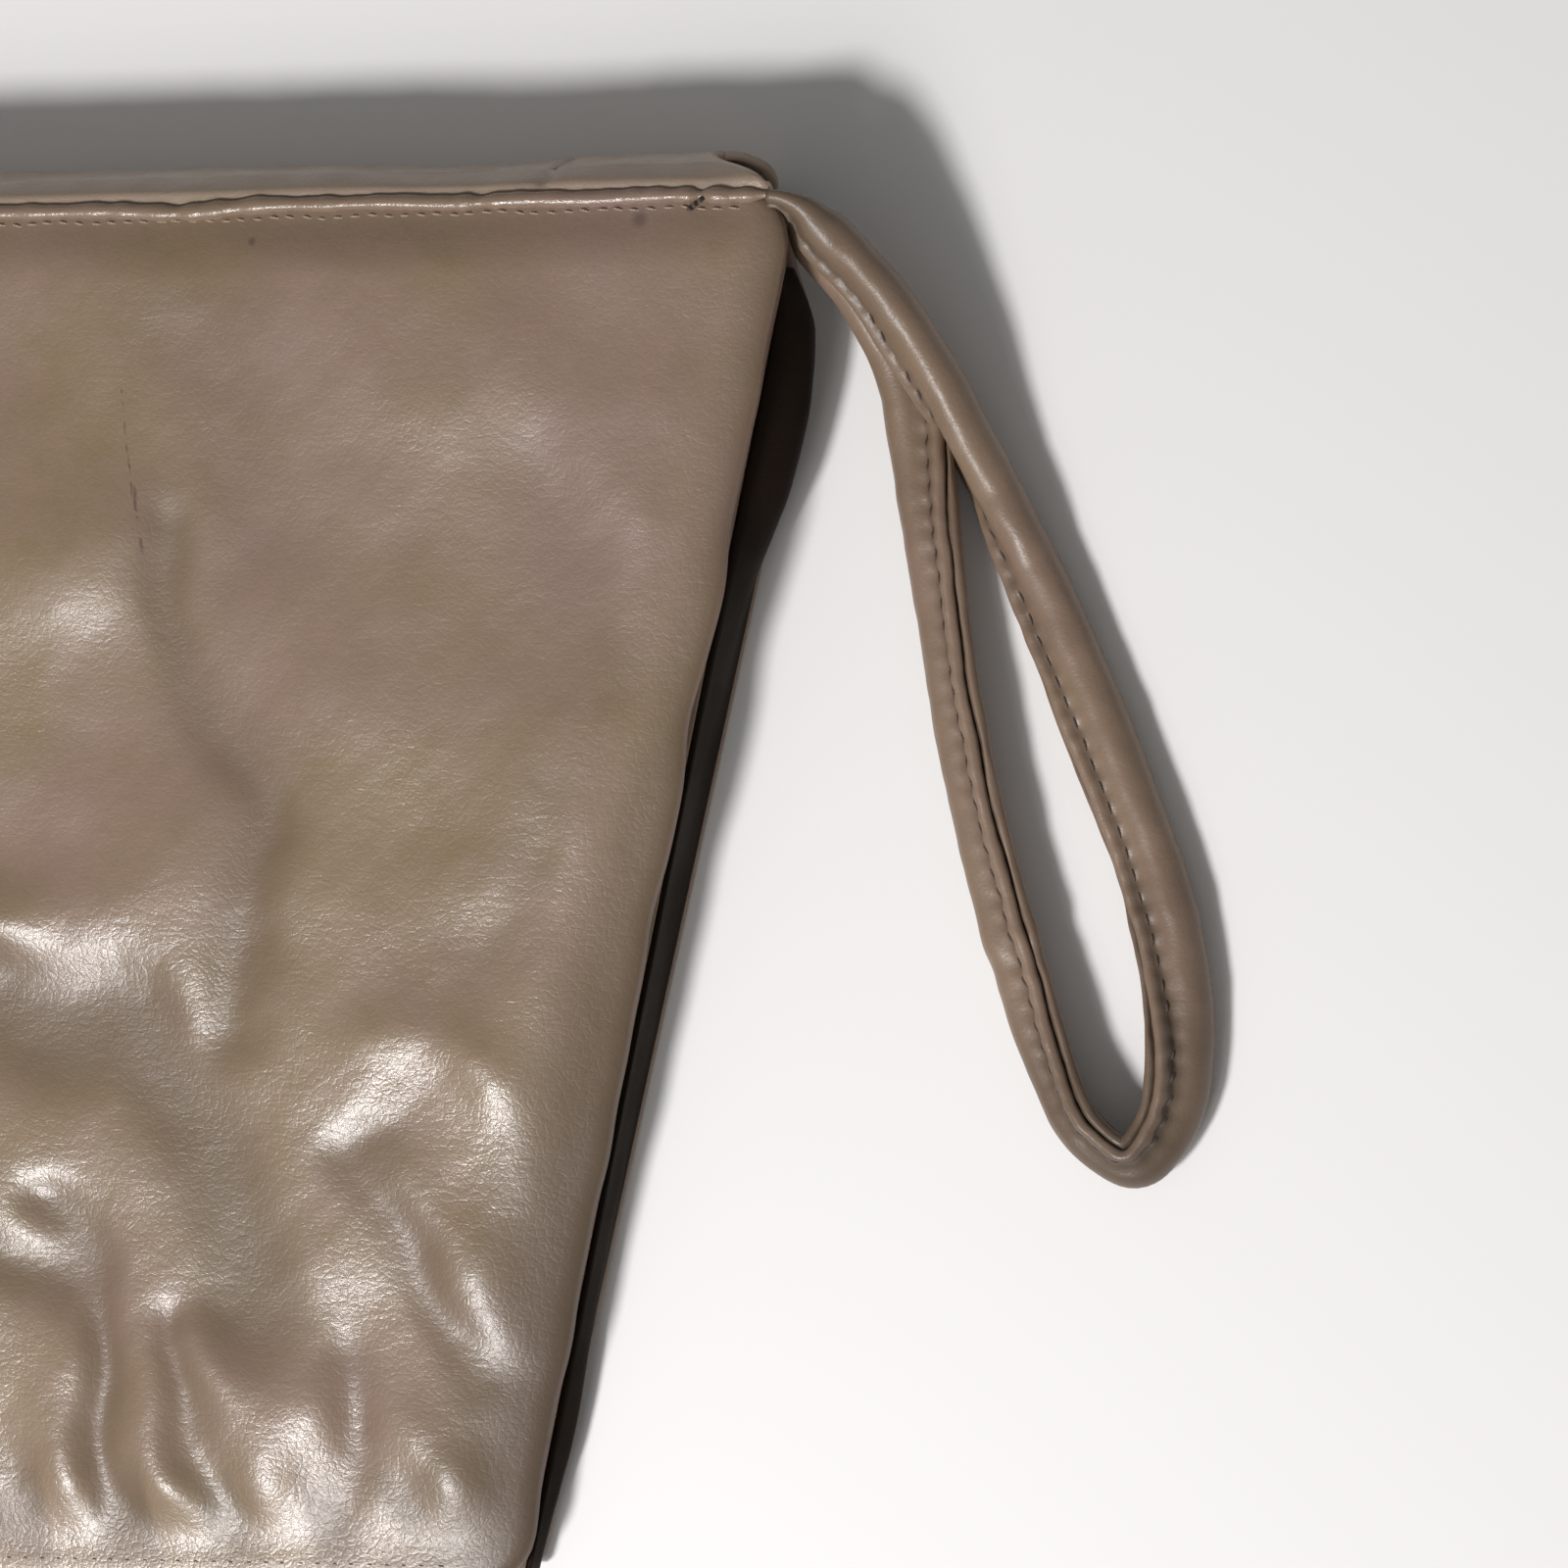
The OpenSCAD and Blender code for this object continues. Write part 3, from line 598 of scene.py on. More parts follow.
def flap_lining_cloth():
    x, v, side = panel_grid(3.0, BODY_H - 1.4, 3.0, 1.4, 6.0)
    by_snap = bump(np.hypot(x, v - SNAP_V), 12)
    soft = 0.12 * waves(x, v, 18, 41) * smooth(side / 8) * (1 - by_snap) - 0.08 * by_snap
    gap = np.minimum(side, np.minimum(v - 3.0, BODY_H - 1.4 - v))
    depth = FLAP_T + 0.05 + soft + edge_fall(gap, 1.2, 0.4)
    made = closed_sheet("flap_lining_cloth", on_slope(x, v, -2.42), on_slope(x, v, -depth),
                        FINISH["lining_cloth"], "lining_cloth")
    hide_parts("flap_lining")
    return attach(made, "flap")


def seam_ridge_welt():
    """The welt along the fold seam, slightly lumpy, running out thin at both ends."""
    reach = HALF_TOP - 4.6
    x = spread(-reach, reach, 0.7)
    turns = np.linspace(-0.25 * math.pi, 1.25 * math.pi, 11)
    lumps = 1 + 0.10 * waves(x, 0 * x, 2.6, 51) + 0.10 * waves(x, 0 * x, 13, 52)
    lumps = lumps * (0.55 + 0.45 * smooth((reach - np.abs(x)) / 5)) + 0.14 * bump(x - 131, 1.8)
    lumps = lumps - 0.35 * bump(x - 128.2, 0.9)
    v = RIDGE_V + 0.25 * waves(x, 0 * x, 16, 53)
    r = RIDGE_R * lumps
    across = v[:, None] - 1.15 * r[:, None] * np.cos(turns)[None, :]
    out = 0.25 + r[:, None] * np.sin(turns)[None, :]
    points = on_slope(np.repeat(x[:, None], len(turns), 1), across, out)
    n = len(turns)
    faces = grid_faces(len(x), n, 0, wrap=True) + [list(range(n)), [(len(x) - 1) * n + k for k in range(n)][::-1]]
    made = piece("seam_ridge_welt", points.reshape(-1, 3), faces, FINISH["shell_leather"], "shell_leather",
                 fold=0.2 * np.ones(points.shape[:2]), edge=0.1 * np.ones(points.shape[:2]))
    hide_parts("seam_ridge")
    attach(made, "flap")
    seam = spread(-reach + 3, reach - 3, 1.0)
    line = on_slope(seam, RIDGE_V + 1.75 + 0.22 * waves(seam, 0 * seam, 4, 54), 0.14 + 0 * seam)
    sewn = stitch_row("fold_seam_stitches", line, np.tile([0, 0, 1.0], (len(seam), 1)), 2.6, 1.7, 0.42,
                      TAUPE_THREAD, 0.03)
    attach(sewn, "flap")
    tack = on_slope(spread(125.6, 129.2, 0.4), np.linspace(5.3, 2.9, 10), np.linspace(0.5, 1.5, 10))
    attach(stitch_row("seam_back_tack", tack, np.tile([0, 0, 1.0], (len(tack), 1)), 1.2, 1.1, 0.8,
                       DARK_THREAD), "flap")
    return made


def hem_strip():
    """The turned and stitched hem along the flap's bottom edge."""
    reach = HALF_BOTTOM - 7
    x = np.repeat(spread(-reach, reach, 1.4)[:, None], 9, 1)
    t = np.linspace(-1, 1, 9)[None, :]
    v = HEM_V + 2.0 * t + 0.15 * waves(x, 0 * x, 14, 61)
    crown = 0.62 * np.sqrt(np.clip(1 - np.abs(t) ** 3.5, 0, 1)) - 0.12 * bump(t + 0.15, 0.22)
    top = on_slope(x, v, crown * smooth((reach - np.abs(x)) / 2.5) + 0.08 * waves(x, v, 4, 62) - 0.75)
    made = closed_sheet("hem_strip", top[:, ::-1], on_slope(x, v, -1.3)[:, ::-1], FINISH["shell_leather"],
                        "shell_leather", fold=0.25 * np.ones(x.shape), edge=0.0 * x)
    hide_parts("flap_hem")
    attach(made, "flap")
    seam = spread(-reach + 2, reach - 2, 1.0)
    line = on_slope(seam, HEM_V - 0.3 + 0 * seam, -0.22 + 0 * seam)
    sewn = stitch_row("hem_stitches", line, np.tile([0, 0, 1.0], (len(seam), 1)), 2.8, 2.0, 0.42, DARK_THREAD, 0.0)
    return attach(sewn, "flap")


# ---------------------------------------------------------------- spine
def spine_profile(part, thick=LEATHER - 0.1, gap=0.0, count=16):
    """Across the fold, the outer and inner lines of the upper or lower half of the spine, from its
    panel to the middle of the bulge."""
    tilt = np.radians(np.linspace(28, 0, count))
    radius = SPINE_R + LEATHER / 2 - gap
    arc = np.stack([SPINE_Y + radius * np.cos(tilt), radius * np.sin(tilt)], -1)
    turn = [(FOLD_Y - 2.6, FOLD_H / 2 - gap - 0.16), (FOLD_Y - 1.2, FOLD_H / 2 - gap - 0.03),
            (FOLD_Y + 0.1 - gap / 2, FOLD_H / 2 - gap - 0.30)]
    line = curved(np.concatenate([turn, arc[2:]]), 3)
    along = np.gradient(line, axis=0)
    along /= np.linalg.norm(along, axis=1)[:, None]
    inward = np.stack([along[:, 1], -along[:, 0]], -1)
    sign = 1 if part == "upper" else -1
    return line, inward, thick, sign


def spine_piece(name, part, ends, thick, gap, finish, slot, dents=1.0, stretch=(-1, 1)):
    """Half of the soft spine, along the fold. Ends says how far short of the panels' ends it stops,
    and stretch which share of the fold it covers."""
    line, inward, thick, sign = spine_profile(part, thick, gap)
    rows = spread(*stretch, 1.3 / SPINE_HALF)
    bulge = smooth((line[:, 0] - FOLD_Y + 3) / 7)
    back_off = np.clip((line[-1, 0] - line[:, 0]) / 4.5, 0, 1)
    rounded = 6 * (1 - np.sqrt(1 - (1 - back_off) ** 2))
    drawn_in = 11 * bulge ** 2 if part == "upper" else 5 + rounded + 2 * (1 - bulge)
    x = rows[:, None] * (SPINE_HALF - ends - drawn_in)[None, :]
    s = np.repeat(np.cumsum(np.linalg.norm(np.gradient(line, axis=0), axis=1))[None, :], len(rows), 0)
    push = 0.22 * waves(x, s * 1.6, 19, 71) + 0.10 * waves(x, s * 1.4, 6, 72)
    push = push - 0.75 * bump(x - 87, 13) + 0.35 * bump(x - 112, 10) - 0.3 * bump(x + 40, 20)
    crease = bump(x - 104.2 - 0.22 * (s - 8), 0.75)
    push = push - 0.55 * crease + 0.25 * bump(x - 106.2 - 0.22 * (s - 8), 1.1)
    push = push + 0.85 * smooth((np.abs(x) - 129) / 9)
    push = dents * push * bulge[None, :]

    def at(depth):
        y = line[None, :, 0] + inward[None, :, 0] * (depth - push)
        z = line[None, :, 1] + inward[None, :, 1] * (depth - push)
        return np.stack([x, y, FOLD_H / 2 + sign * z], -1)

    outer, inner = at(0.0), at(thick)
    if sign < 0:
        outer, inner = outer[:, ::-1], inner[:, ::-1]
        crease, x = crease[:, ::-1], x[:, ::-1]
    # painted highlight: the band's ends are lightened
    lips = 0.5 * smooth((np.abs(rows)[:, None] * np.ones_like(x) - 0.992) / 0.008)
    # painted shade darkens the crease
    made = closed_sheet(name, outer[:, ::-1], inner[:, ::-1], finish, slot,
                        fold=0.9 * crease[:, ::-1], edge=lips)
    if part == "upper":
        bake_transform(made)
    else:
        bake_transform(made)
    return made


def spine():
    for part in ("upper", "lower"):
        # the band's leather carries painted light on its rounded top
        band = spine_piece(f"spine_leather_painted_light_{part}", part, 0.0, LEATHER - 0.1, 0.0, LIT_BAND_FINISH, "shell_leather")
        cloth_in = spine_piece(f"spine_lining_{part}", part, 1.3, 0.45, LEATHER + 0.25, FINISH["lining_cloth"],
                               "lining_cloth", 0.8)
        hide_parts("spine_band")
        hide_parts("spine_lining")
    # the spine's ends are gathered: two tucks of its leather show in the hollow at each end
    for side, stretch in (("right", (0.955, 1)), ("left", (-1, -0.955))):
        for k in (1, 2):
            spine_piece(f"spine_tuck_{side}_{k}", "lower", 0.2 + 1.7 * k, 0.8, 1.4 + 1.7 * k,
                        FINISH["shell_leather"], "shell_leather", 0.8, stretch)


# ---------------------------------------------------------------- pouch
def back_leather():
    """The back panel: flat where it rests, with rolled edges."""
    x, v, side = panel_grid(HINGE_GAP, BODY_H, 2.4)
    gap = np.minimum(side, np.minimum(v - HINGE_GAP + 1.5, BODY_H - v))
    x = x * (1 - tucked(v) / half(v))
    low = -edge_fall(gap, 1.5, 0.6) + 0.0 * x
    high = LEATHER + edge_fall(gap, 1.5, 0.55)
    # painted highlight: a pale rim along the rolled edges
    lip = 0.5 * bump(gap, 0.5)
    made = closed_sheet("back_leather", on_back(x, v, high), on_back(x, v, low), FINISH["shell_leather"],
                        "shell_leather", fold=0.15 + 0.0 * x, edge=lip)
    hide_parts("back_panel")
    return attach(made, "pouch")


def pouch_board():
    """The stiffener between the back's leather and its lining."""
    x, v, side = panel_grid(8.0, BODY_H - 4, 4.0, 6.0, 5.0)
    low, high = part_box("back_board")[0].z / MM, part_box("back_board")[1].z / MM
    x = x * (1 - tucked(v) / half(v))
    made = closed_sheet("pouch_board", on_back(x, v, high + 0 * x), on_back(x, v, low + 0 * x),
                        FINISH["stiffener_board"], "stiffener_board")
    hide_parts("back_board")
    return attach(made, "pouch")


def mouth_v(x):
    """Where the pouch's mouth is, across its width."""
    return MOUTH_V + MOUTH_DIP * (1 + np.cos(np.pi * np.clip(x / DIP_HALF, -1, 1))) / 2


def wall_grid(inset, mouth_inset, step):
    """Across and down values over the front wall, from its dipped mouth to the bottom."""
    u = np.linspace(-1, 1, int(2 * HALF_TOP / step))[None, :]
    t = np.linspace(0, 1, int(BODY_H / step))[:, None]
    x0 = u * (half(MOUTH_V) - inset)
    top = mouth_v(x0) + mouth_inset
    v = top + t * (BODY_H - inset - top)
    x = u * (half(v) - inset)
    return x, v, (half(v) - inset) - np.abs(x), v - top


def front_wall_leather():
    x, v, side, from_mouth = wall_grid(0.8, 0.0, 2.2)
    gap = np.minimum(np.minimum(side, from_mouth), BODY_H - 0.8 - v)
    soft = 0.30 * waves(x, v, 26, 81) * smooth(gap / 14) + 0.07 * waves(x, v, 7, 82)
    outer = -WALL_W + np.minimum(0.45, soft) * smooth(gap / 8) + edge_fall(gap, 1.2, 0.4)
    stud = np.hypot(x, v - SNAP_V)
    outer = np.where(stud < 12, -WALL_W - 0.04, outer)
    # painted shade in the wall's dips and a painted highlight along its rims
    made = closed_sheet("front_wall_leather", on_slope(x, v, outer), on_slope(x, v, -WALL_W - WALL_T + 0 * x),
                        FINISH["shell_leather"], "shell_leather",
                        fold=0.35 * smooth(-soft * 2), edge=0.3 * bump(gap, 0.6))
    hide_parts("front_wall")
    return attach(made, "pouch")


def front_lining_cloth():
    x, v, side, from_mouth = wall_grid(3.0, 1.0, 4.0)
    gap = np.minimum(np.minimum(side, from_mouth), BODY_H - 3 - v)
    inner = -WALL_W - WALL_T - 0.55 - 0.15 * (1 + waves(x, v, 22, 83)) * smooth(gap / 12)
    made = closed_sheet("front_lining_cloth", on_slope(x, v, -WALL_W - WALL_T - 0.03 + 0 * x),
                        on_slope(x, v, inner), FINISH["lining_cloth"], "lining_cloth")
    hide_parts("front_lining")
    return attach(made, "pouch")


def binding():
    """The folded strip sewn over the mouth's edge."""
    reach = half(MOUTH_V) - 4
    x = np.repeat(spread(-reach, reach, 1.2)[:, None], 9, 1)
    t = np.linspace(0, 1, 9)[None, :]
    v = mouth_v(x) - 0.5 + 4.4 * t + 0.12 * waves(x, 0 * x, 12, 91)
    crown = 0.55 * np.sqrt(np.clip(1 - np.abs(2 * t - 1) ** 4, 0, 1)) - 0.10 * bump(t - 0.72, 0.12)
    top = on_slope(x, v, -WALL_W + 0.06 + crown)
    made = closed_sheet("mouth_binding_strip", top[:, ::-1], on_slope(x, v, -WALL_W - 0.2 * (t > 0.1))[:, ::-1],
                        FINISH["shell_leather"], "shell_leather", fold=0.2 + 0 * x, edge=0 * x)
    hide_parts("mouth_binding")
    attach(made, "pouch")
    seam = spread(-reach + 2, reach - 2, 1.0)
    line = on_slope(seam, mouth_v(seam) + 2.7, -WALL_W + 0.55)
    sewn = stitch_row("mouth_stitches", line, np.tile([0, 0, 1.0], (len(seam), 1)), 2.8, 2.0, 0.4, TAUPE_THREAD)
    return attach(sewn, "pouch")


def swell(v):
    """How far a gusset swells out at a distance from the hinge."""
    rise = np.where(v < 37, 21, 23)
    return 5.2 * np.exp(-((v - 37) / rise) ** 2) + 1.6 * np.exp(-((v - 182) / 25) ** 2)


def gusset(name, side):
    """A side wall: a soft sheet from the back panel to the front wall, puffed out near the mouth."""
    v = np.repeat(spread(MOUTH_V + 1, BODY_H - 3, 1.3)[:, None], 15, 1)
    t = np.linspace(0, 1, 15)[None, :]
    low = LEATHER + 0.05
    high = FOLD_H - v * math.sin(SLOPE) - WALL_W - WALL_T - 0.1
    ripple = 0.30 * waves(v, t * 14, 12, 95 + side) + 0.08 * waves(v, t * 9, 4.5, 97 + side)
    x = half(v) - 0.2 + swell(v) * np.sin(np.pi * t) + ripple * np.sin(np.pi * t) * 0.7
    x = x - tucked(v) * (1 - 0.5 * t)
    lean = t + 0.05 * np.sin(2 * np.pi * t)
    z = low + (high - low) * lean
    outer, inner = np.stack([x, FOLD_Y - v, z], -1), np.stack([x - 1.1, FOLD_Y - v, z], -1)
    if side < 0:
        outer, inner = outer * [-1, 1, 1], inner * [-1, 1, 1]
        outer, inner = outer[:, ::-1], inner[:, ::-1]
    # painted shade in the hollows of the ripples, on top of the finish's near-black painted shade
    made = closed_sheet(f"{name}_leather", outer, inner, SHADED_GUSSET_FINISH, "shell_leather",
                        fold=0.4 * smooth(-ripple), edge=0 * x)
    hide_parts(name)
    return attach(made, "pouch")


def base_leather():
    """The narrow strip that closes the pouch's bottom."""
    reach = HALF_BOTTOM - 3
    x = np.repeat(spread(-reach, reach, 2.0)[:, None], 7, 1)
    t = np.linspace(0, 1, 7)[None, :]
    low, high = LEATHER + 0.05, BOTTOM_H - WALL_W - WALL_T - 0.15
    v = BODY_H - 2 + 0.7 + 0.45 * np.sin(np.pi * t) + 0.12 * waves(x, 0 * x, 9, 99)
    z = low + (high - low) * t
    # its near-black finish is painted shade, as on the gussets
    made = closed_sheet("base_leather", np.stack(np.broadcast_arrays(x, FOLD_Y - v, z), -1)[:, ::-1],
                        np.stack(np.broadcast_arrays(x, FOLD_Y - v + 1.2, z), -1)[:, ::-1],
                        SHADED_GUSSET_FINISH, "shell_leather", fold=0.2 + 0 * x, edge=0 * x)
    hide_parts("base_strip")
    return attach(made, "pouch")


def window_sheet(name, outline, window, low, high, finish, slot, rings=9, soft=0.0):
    """A flat sheet with a long window round the zip. Outline and window are functions of an angle."""
    turns = np.linspace(0, 2 * math.pi, 241)[:-1]
    inner, outer = window(turns), outline(turns)
    t = (np.linspace(0, 1, rings) ** 1.6)[:, None, None]
    flat = inner[None] * (1 - t) + outer[None] * t
    x, v = flat[..., 0], flat[..., 1]
    ease = np.sin(np.pi * t[..., 0]) * soft
    tops = on_back(x, v, high + ease * (1 + waves(x, v, 16, 101)))
    tops[0, :, 2] -= 0.15
    tops[-1, :, 2] -= 0.15
    bottoms = on_back(x, v, low + 0 * x)
    n, count = len(turns), rings * len(turns)
    faces = grid_faces(rings, n, 0, False, True) + grid_faces(rings, n, count, True, True)
    last = (rings - 1) * n
    for i in range(n):
        k = (i + 1) % n
        faces += [[i, i + count, k + count, k], [last + k, last + k + count, last + i + count, last + i]]
    points = np.concatenate([tops.reshape(-1, 3), bottoms.reshape(-1, 3)])
    zero = np.zeros(len(points))
    return piece(name, points, faces, finish, slot, fold=zero, edge=zero)


def box_outline(half_x, half_v, centre_v):
    """A rectangle about a place below the hinge, as a function of angle."""
    def at(turn):
        c, s = np.cos(turn), np.sin(turn)
        reach = 1 / np.maximum(np.abs(c) / half_x, np.abs(s) / half_v)
        return np.stack([c * reach, centre_v + s * reach], -1)
    return at


def body_outline(turn):
    """The lining's tapering outline seen from the zip, as a function of angle."""
    c, s = np.cos(turn), np.sin(turn)
    taper = (HALF_TOP - HALF_BOTTOM) / BODY_H
    to_side = (half(ZIP_V) - 3) / np.maximum(1e-6, np.abs(c) + taper * s)
    to_top = np.where(s < 0, (ZIP_V - 3) / np.maximum(1e-6, -s), 1e9)
    to_bottom = np.where(s > 0, (BODY_H - 4 - ZIP_V) / np.maximum(1e-6, s), 1e9)
    reach = np.minimum(to_side, np.minimum(to_top, to_bottom))
    x, v = c * reach, ZIP_V + s * reach
    return np.stack([x * (1 - tucked(v) / half(v)), v], -1)


def zip_surround():
    window = box_outline(ZIP_L / 2 + 4, 8.1, ZIP_V)
    back = window_sheet("back_lining_cloth", body_outline, window, LINING_Z, LINING_Z + LINING_T,
                        FINISH["lining_cloth"], "lining_cloth", 15, 0.0)
    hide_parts("back_lining")
    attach(back, "pouch")
    slit = box_outline(ZIP_L / 2 + 2.8, 3.6, ZIP_V)
    border = window_sheet("zip_frame_leather", box_outline(ZIP_L / 2 + 8, 9.5, ZIP_V), slit, FRAME_Z,
                          FRAME_Z + FRAME_T, FINISH["shell_leather"], "shell_leather", 7, 0.08)
    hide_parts("zip_frame")
    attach(border, "pouch")
    path = box_outline(ZIP_L / 2 + 5.6, 6.6, ZIP_V)(np.linspace(0, 2 * math.pi, 400))
    line = on_back(path[:, 0], path[:, 1], FRAME_Z + FRAME_T + 0.1)
    sewn = stitch_row("zip_frame_stitches", line, np.tile([0, 0, 1.0], (len(line), 1)), 2.8, 2.0, 0.4, TAUPE_THREAD)
    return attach(sewn, "pouch")


def card_pockets():
    """Three stepped cloth plies with a bound top edge each."""
    for i in range(3):
        high_v = 95 + i * 7 - (92 - i * 14) / 2
        low_v = 95 + i * 7 + (92 - i * 14) / 2
        z = FRAME_Z + i * 0.35
        x = np.repeat(spread(-95, 95, 3.0)[None, :], 24, 0)
        v = np.repeat(np.linspace(high_v, low_v, 24)[:, None], x.shape[1], 1)
        edge = np.minimum(95 - np.abs(x), v - high_v)
        soft = 0.05 * (1 + waves(x, v, 15, 111 + i)) * smooth(edge / 8)
        top = z + 0.33 + soft + 0.12 * bump(v - high_v - 1, 1.2) + edge_fall(edge, 0.5, 0.15)
        made = closed_sheet(f"card_pocket_ply_{i + 1}", on_back(x, v, top), on_back(x, v, z + 0 * x),
                            FINISH["lining_cloth"], "lining_cloth")
        if i == 0:
            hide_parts("card_pocket")
        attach(made, "pouch")
        seam = spread(-92, 92, 1.0)
        line = on_back(seam, high_v + 2.4 + 0 * seam, z + 0.5)
        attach(stitch_row(f"card_pocket_stitches_{i + 1}", line, np.tile([0, 0, 1.0], (len(seam), 1)),
                           2.8, 1.9, 0.3, TAUPE_THREAD), "pouch")


def zip_tapes():
    """The zip's two woven tapes, each with a beaded inner edge."""
    for side, name in ((-1, "lower"), (1, "upper")):
        x = np.repeat(spread(-ZIP_L / 2 - 3.5, ZIP_L / 2 + 3.5, 1.5)[:, None], 7, 1)
        t = np.linspace(0, 1, 7)[None, :]
        v = ZIP_V - side * (2.45 + 5.55 * t)
        top = LINING_Z + 0.36 + 0.14 * bump(t, 0.18) + 0.03 * waves(x, v, 6, 121)
        upper, lower = on_back(x, v, top), on_back(x, v, LINING_Z + 0 * x)
        if side < 0:
            upper, lower = upper[:, ::-1], lower[:, ::-1]
        made = closed_sheet(f"zip_tape_{name}", upper, lower, FINISH["zip_tape_cloth"], "zip_tape_cloth")
        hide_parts("zip_tape")
        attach(made, "pouch")


# ---------------------------------------------------------------- wrist strap
# The CAD's strap route, with the pressed ends that go on into the seam at both roots
STRAP_ROUTE = [
    (145, 98.4, 20.3), (149, 93.7, 17.8), (152.8, 88.7, 15.3), (156.4, 82.3, 12.9), (160.6, 74.6, 10.5),
    (164.2, 67.3, 8.3), (167.6, 60, 6.3), (170.6, 52.7, 4.9), (173.8, 45.4, 4), (179.9, 31, 3.6),
    (185.9, 16.2, 3.6), (191.3, 1.7, 3.6), (194.6, -12.8, 3.6), (195.4, -23.7, 3.6), (193.8, -33.2, 3.6),
    (188.2, -39.7, 3.6), (181, -35.4, 3.6), (176.6, -27.4, 3.6), (171.6, -12.8, 3.6), (167.4, 1.8, 3.6),
    (163.9, 16.4, 3.6), (161.2, 31, 3.6), (159, 45.6, 3.6), (157, 60.3, 3.6), (155.9, 68, 3.7),
    (155, 75.5, 4.2), (152.4, 82.5, 5.6), (148.7, 89.4, 7.6), (145, 94.5, 9.6)]
ROOT_IN = [(138.4, 103.3, 24.2), (140.8, 102.8, 23.8), (143.2, 101.2, 22.4)]
ROOT_OUT = [(142.8, 98.4, 13.6), (140.8, 100.8, 17.4), (137.8, 102.2, 20.2)]
# How far the strap's lips turn up from level at each point of the route, in degrees
ROLL = [-34, -32, -28, -28, -38, -50, -50, -35, -15, 3, 8, 12, 28, 50, 62, 66, 62, 56, 50, 47, 47, 48, 44, 34, 24,
        14, 8, 5, 5]
BULGE_R = 3.5
LIP_END, LIP_HALF, SEWN_AT = 6.6, 1.95, 4.2


def strap_outline():
    """Across the strap: a round bulge over its core, pinched where it is sewn, then two lips with a slit."""
    bulge = [(BULGE_R * math.cos(a), BULGE_R * math.sin(a)) for a in np.radians(np.linspace(40, 320, 25))]
    lip = [(3.45, 1.75), (SEWN_AT, 1.5), (4.8, 1.72), (5.5, LIP_HALF), (6.15, 1.8), (6.5, 1.35),
           (LIP_END, 0.75), (6.52, 0.3), (6.1, 0.1), (5.0, 0.05)]
    longer = [(a + 0.45 * max(0, a - SEWN_AT) / (LIP_END - SEWN_AT), -b * 1.06) for a, b in lip]
    return np.array(bulge + longer + lip[::-1])


def strap_line():
    """Points every 0.6 mm along the strap, the length to each, and its roll there."""
    route = ROOT_IN + STRAP_ROUTE + ROOT_OUT
    line = curved(route, 10)
    run = np.concatenate([[0], np.cumsum(np.linalg.norm(np.diff(line, axis=0), axis=1))])
    even = spread(0, run[-1], 0.6)
    rolls = ROLL[:1] * len(ROOT_IN) + ROLL + ROLL[-1:] * len(ROOT_OUT)
    roll = np.interp(even, run, np.interp(np.linspace(0, len(route) - 1, len(line)), range(len(route)), rolls))
    return np.stack([np.interp(even, run, line[:, k]) for k in range(3)], -1), even, roll


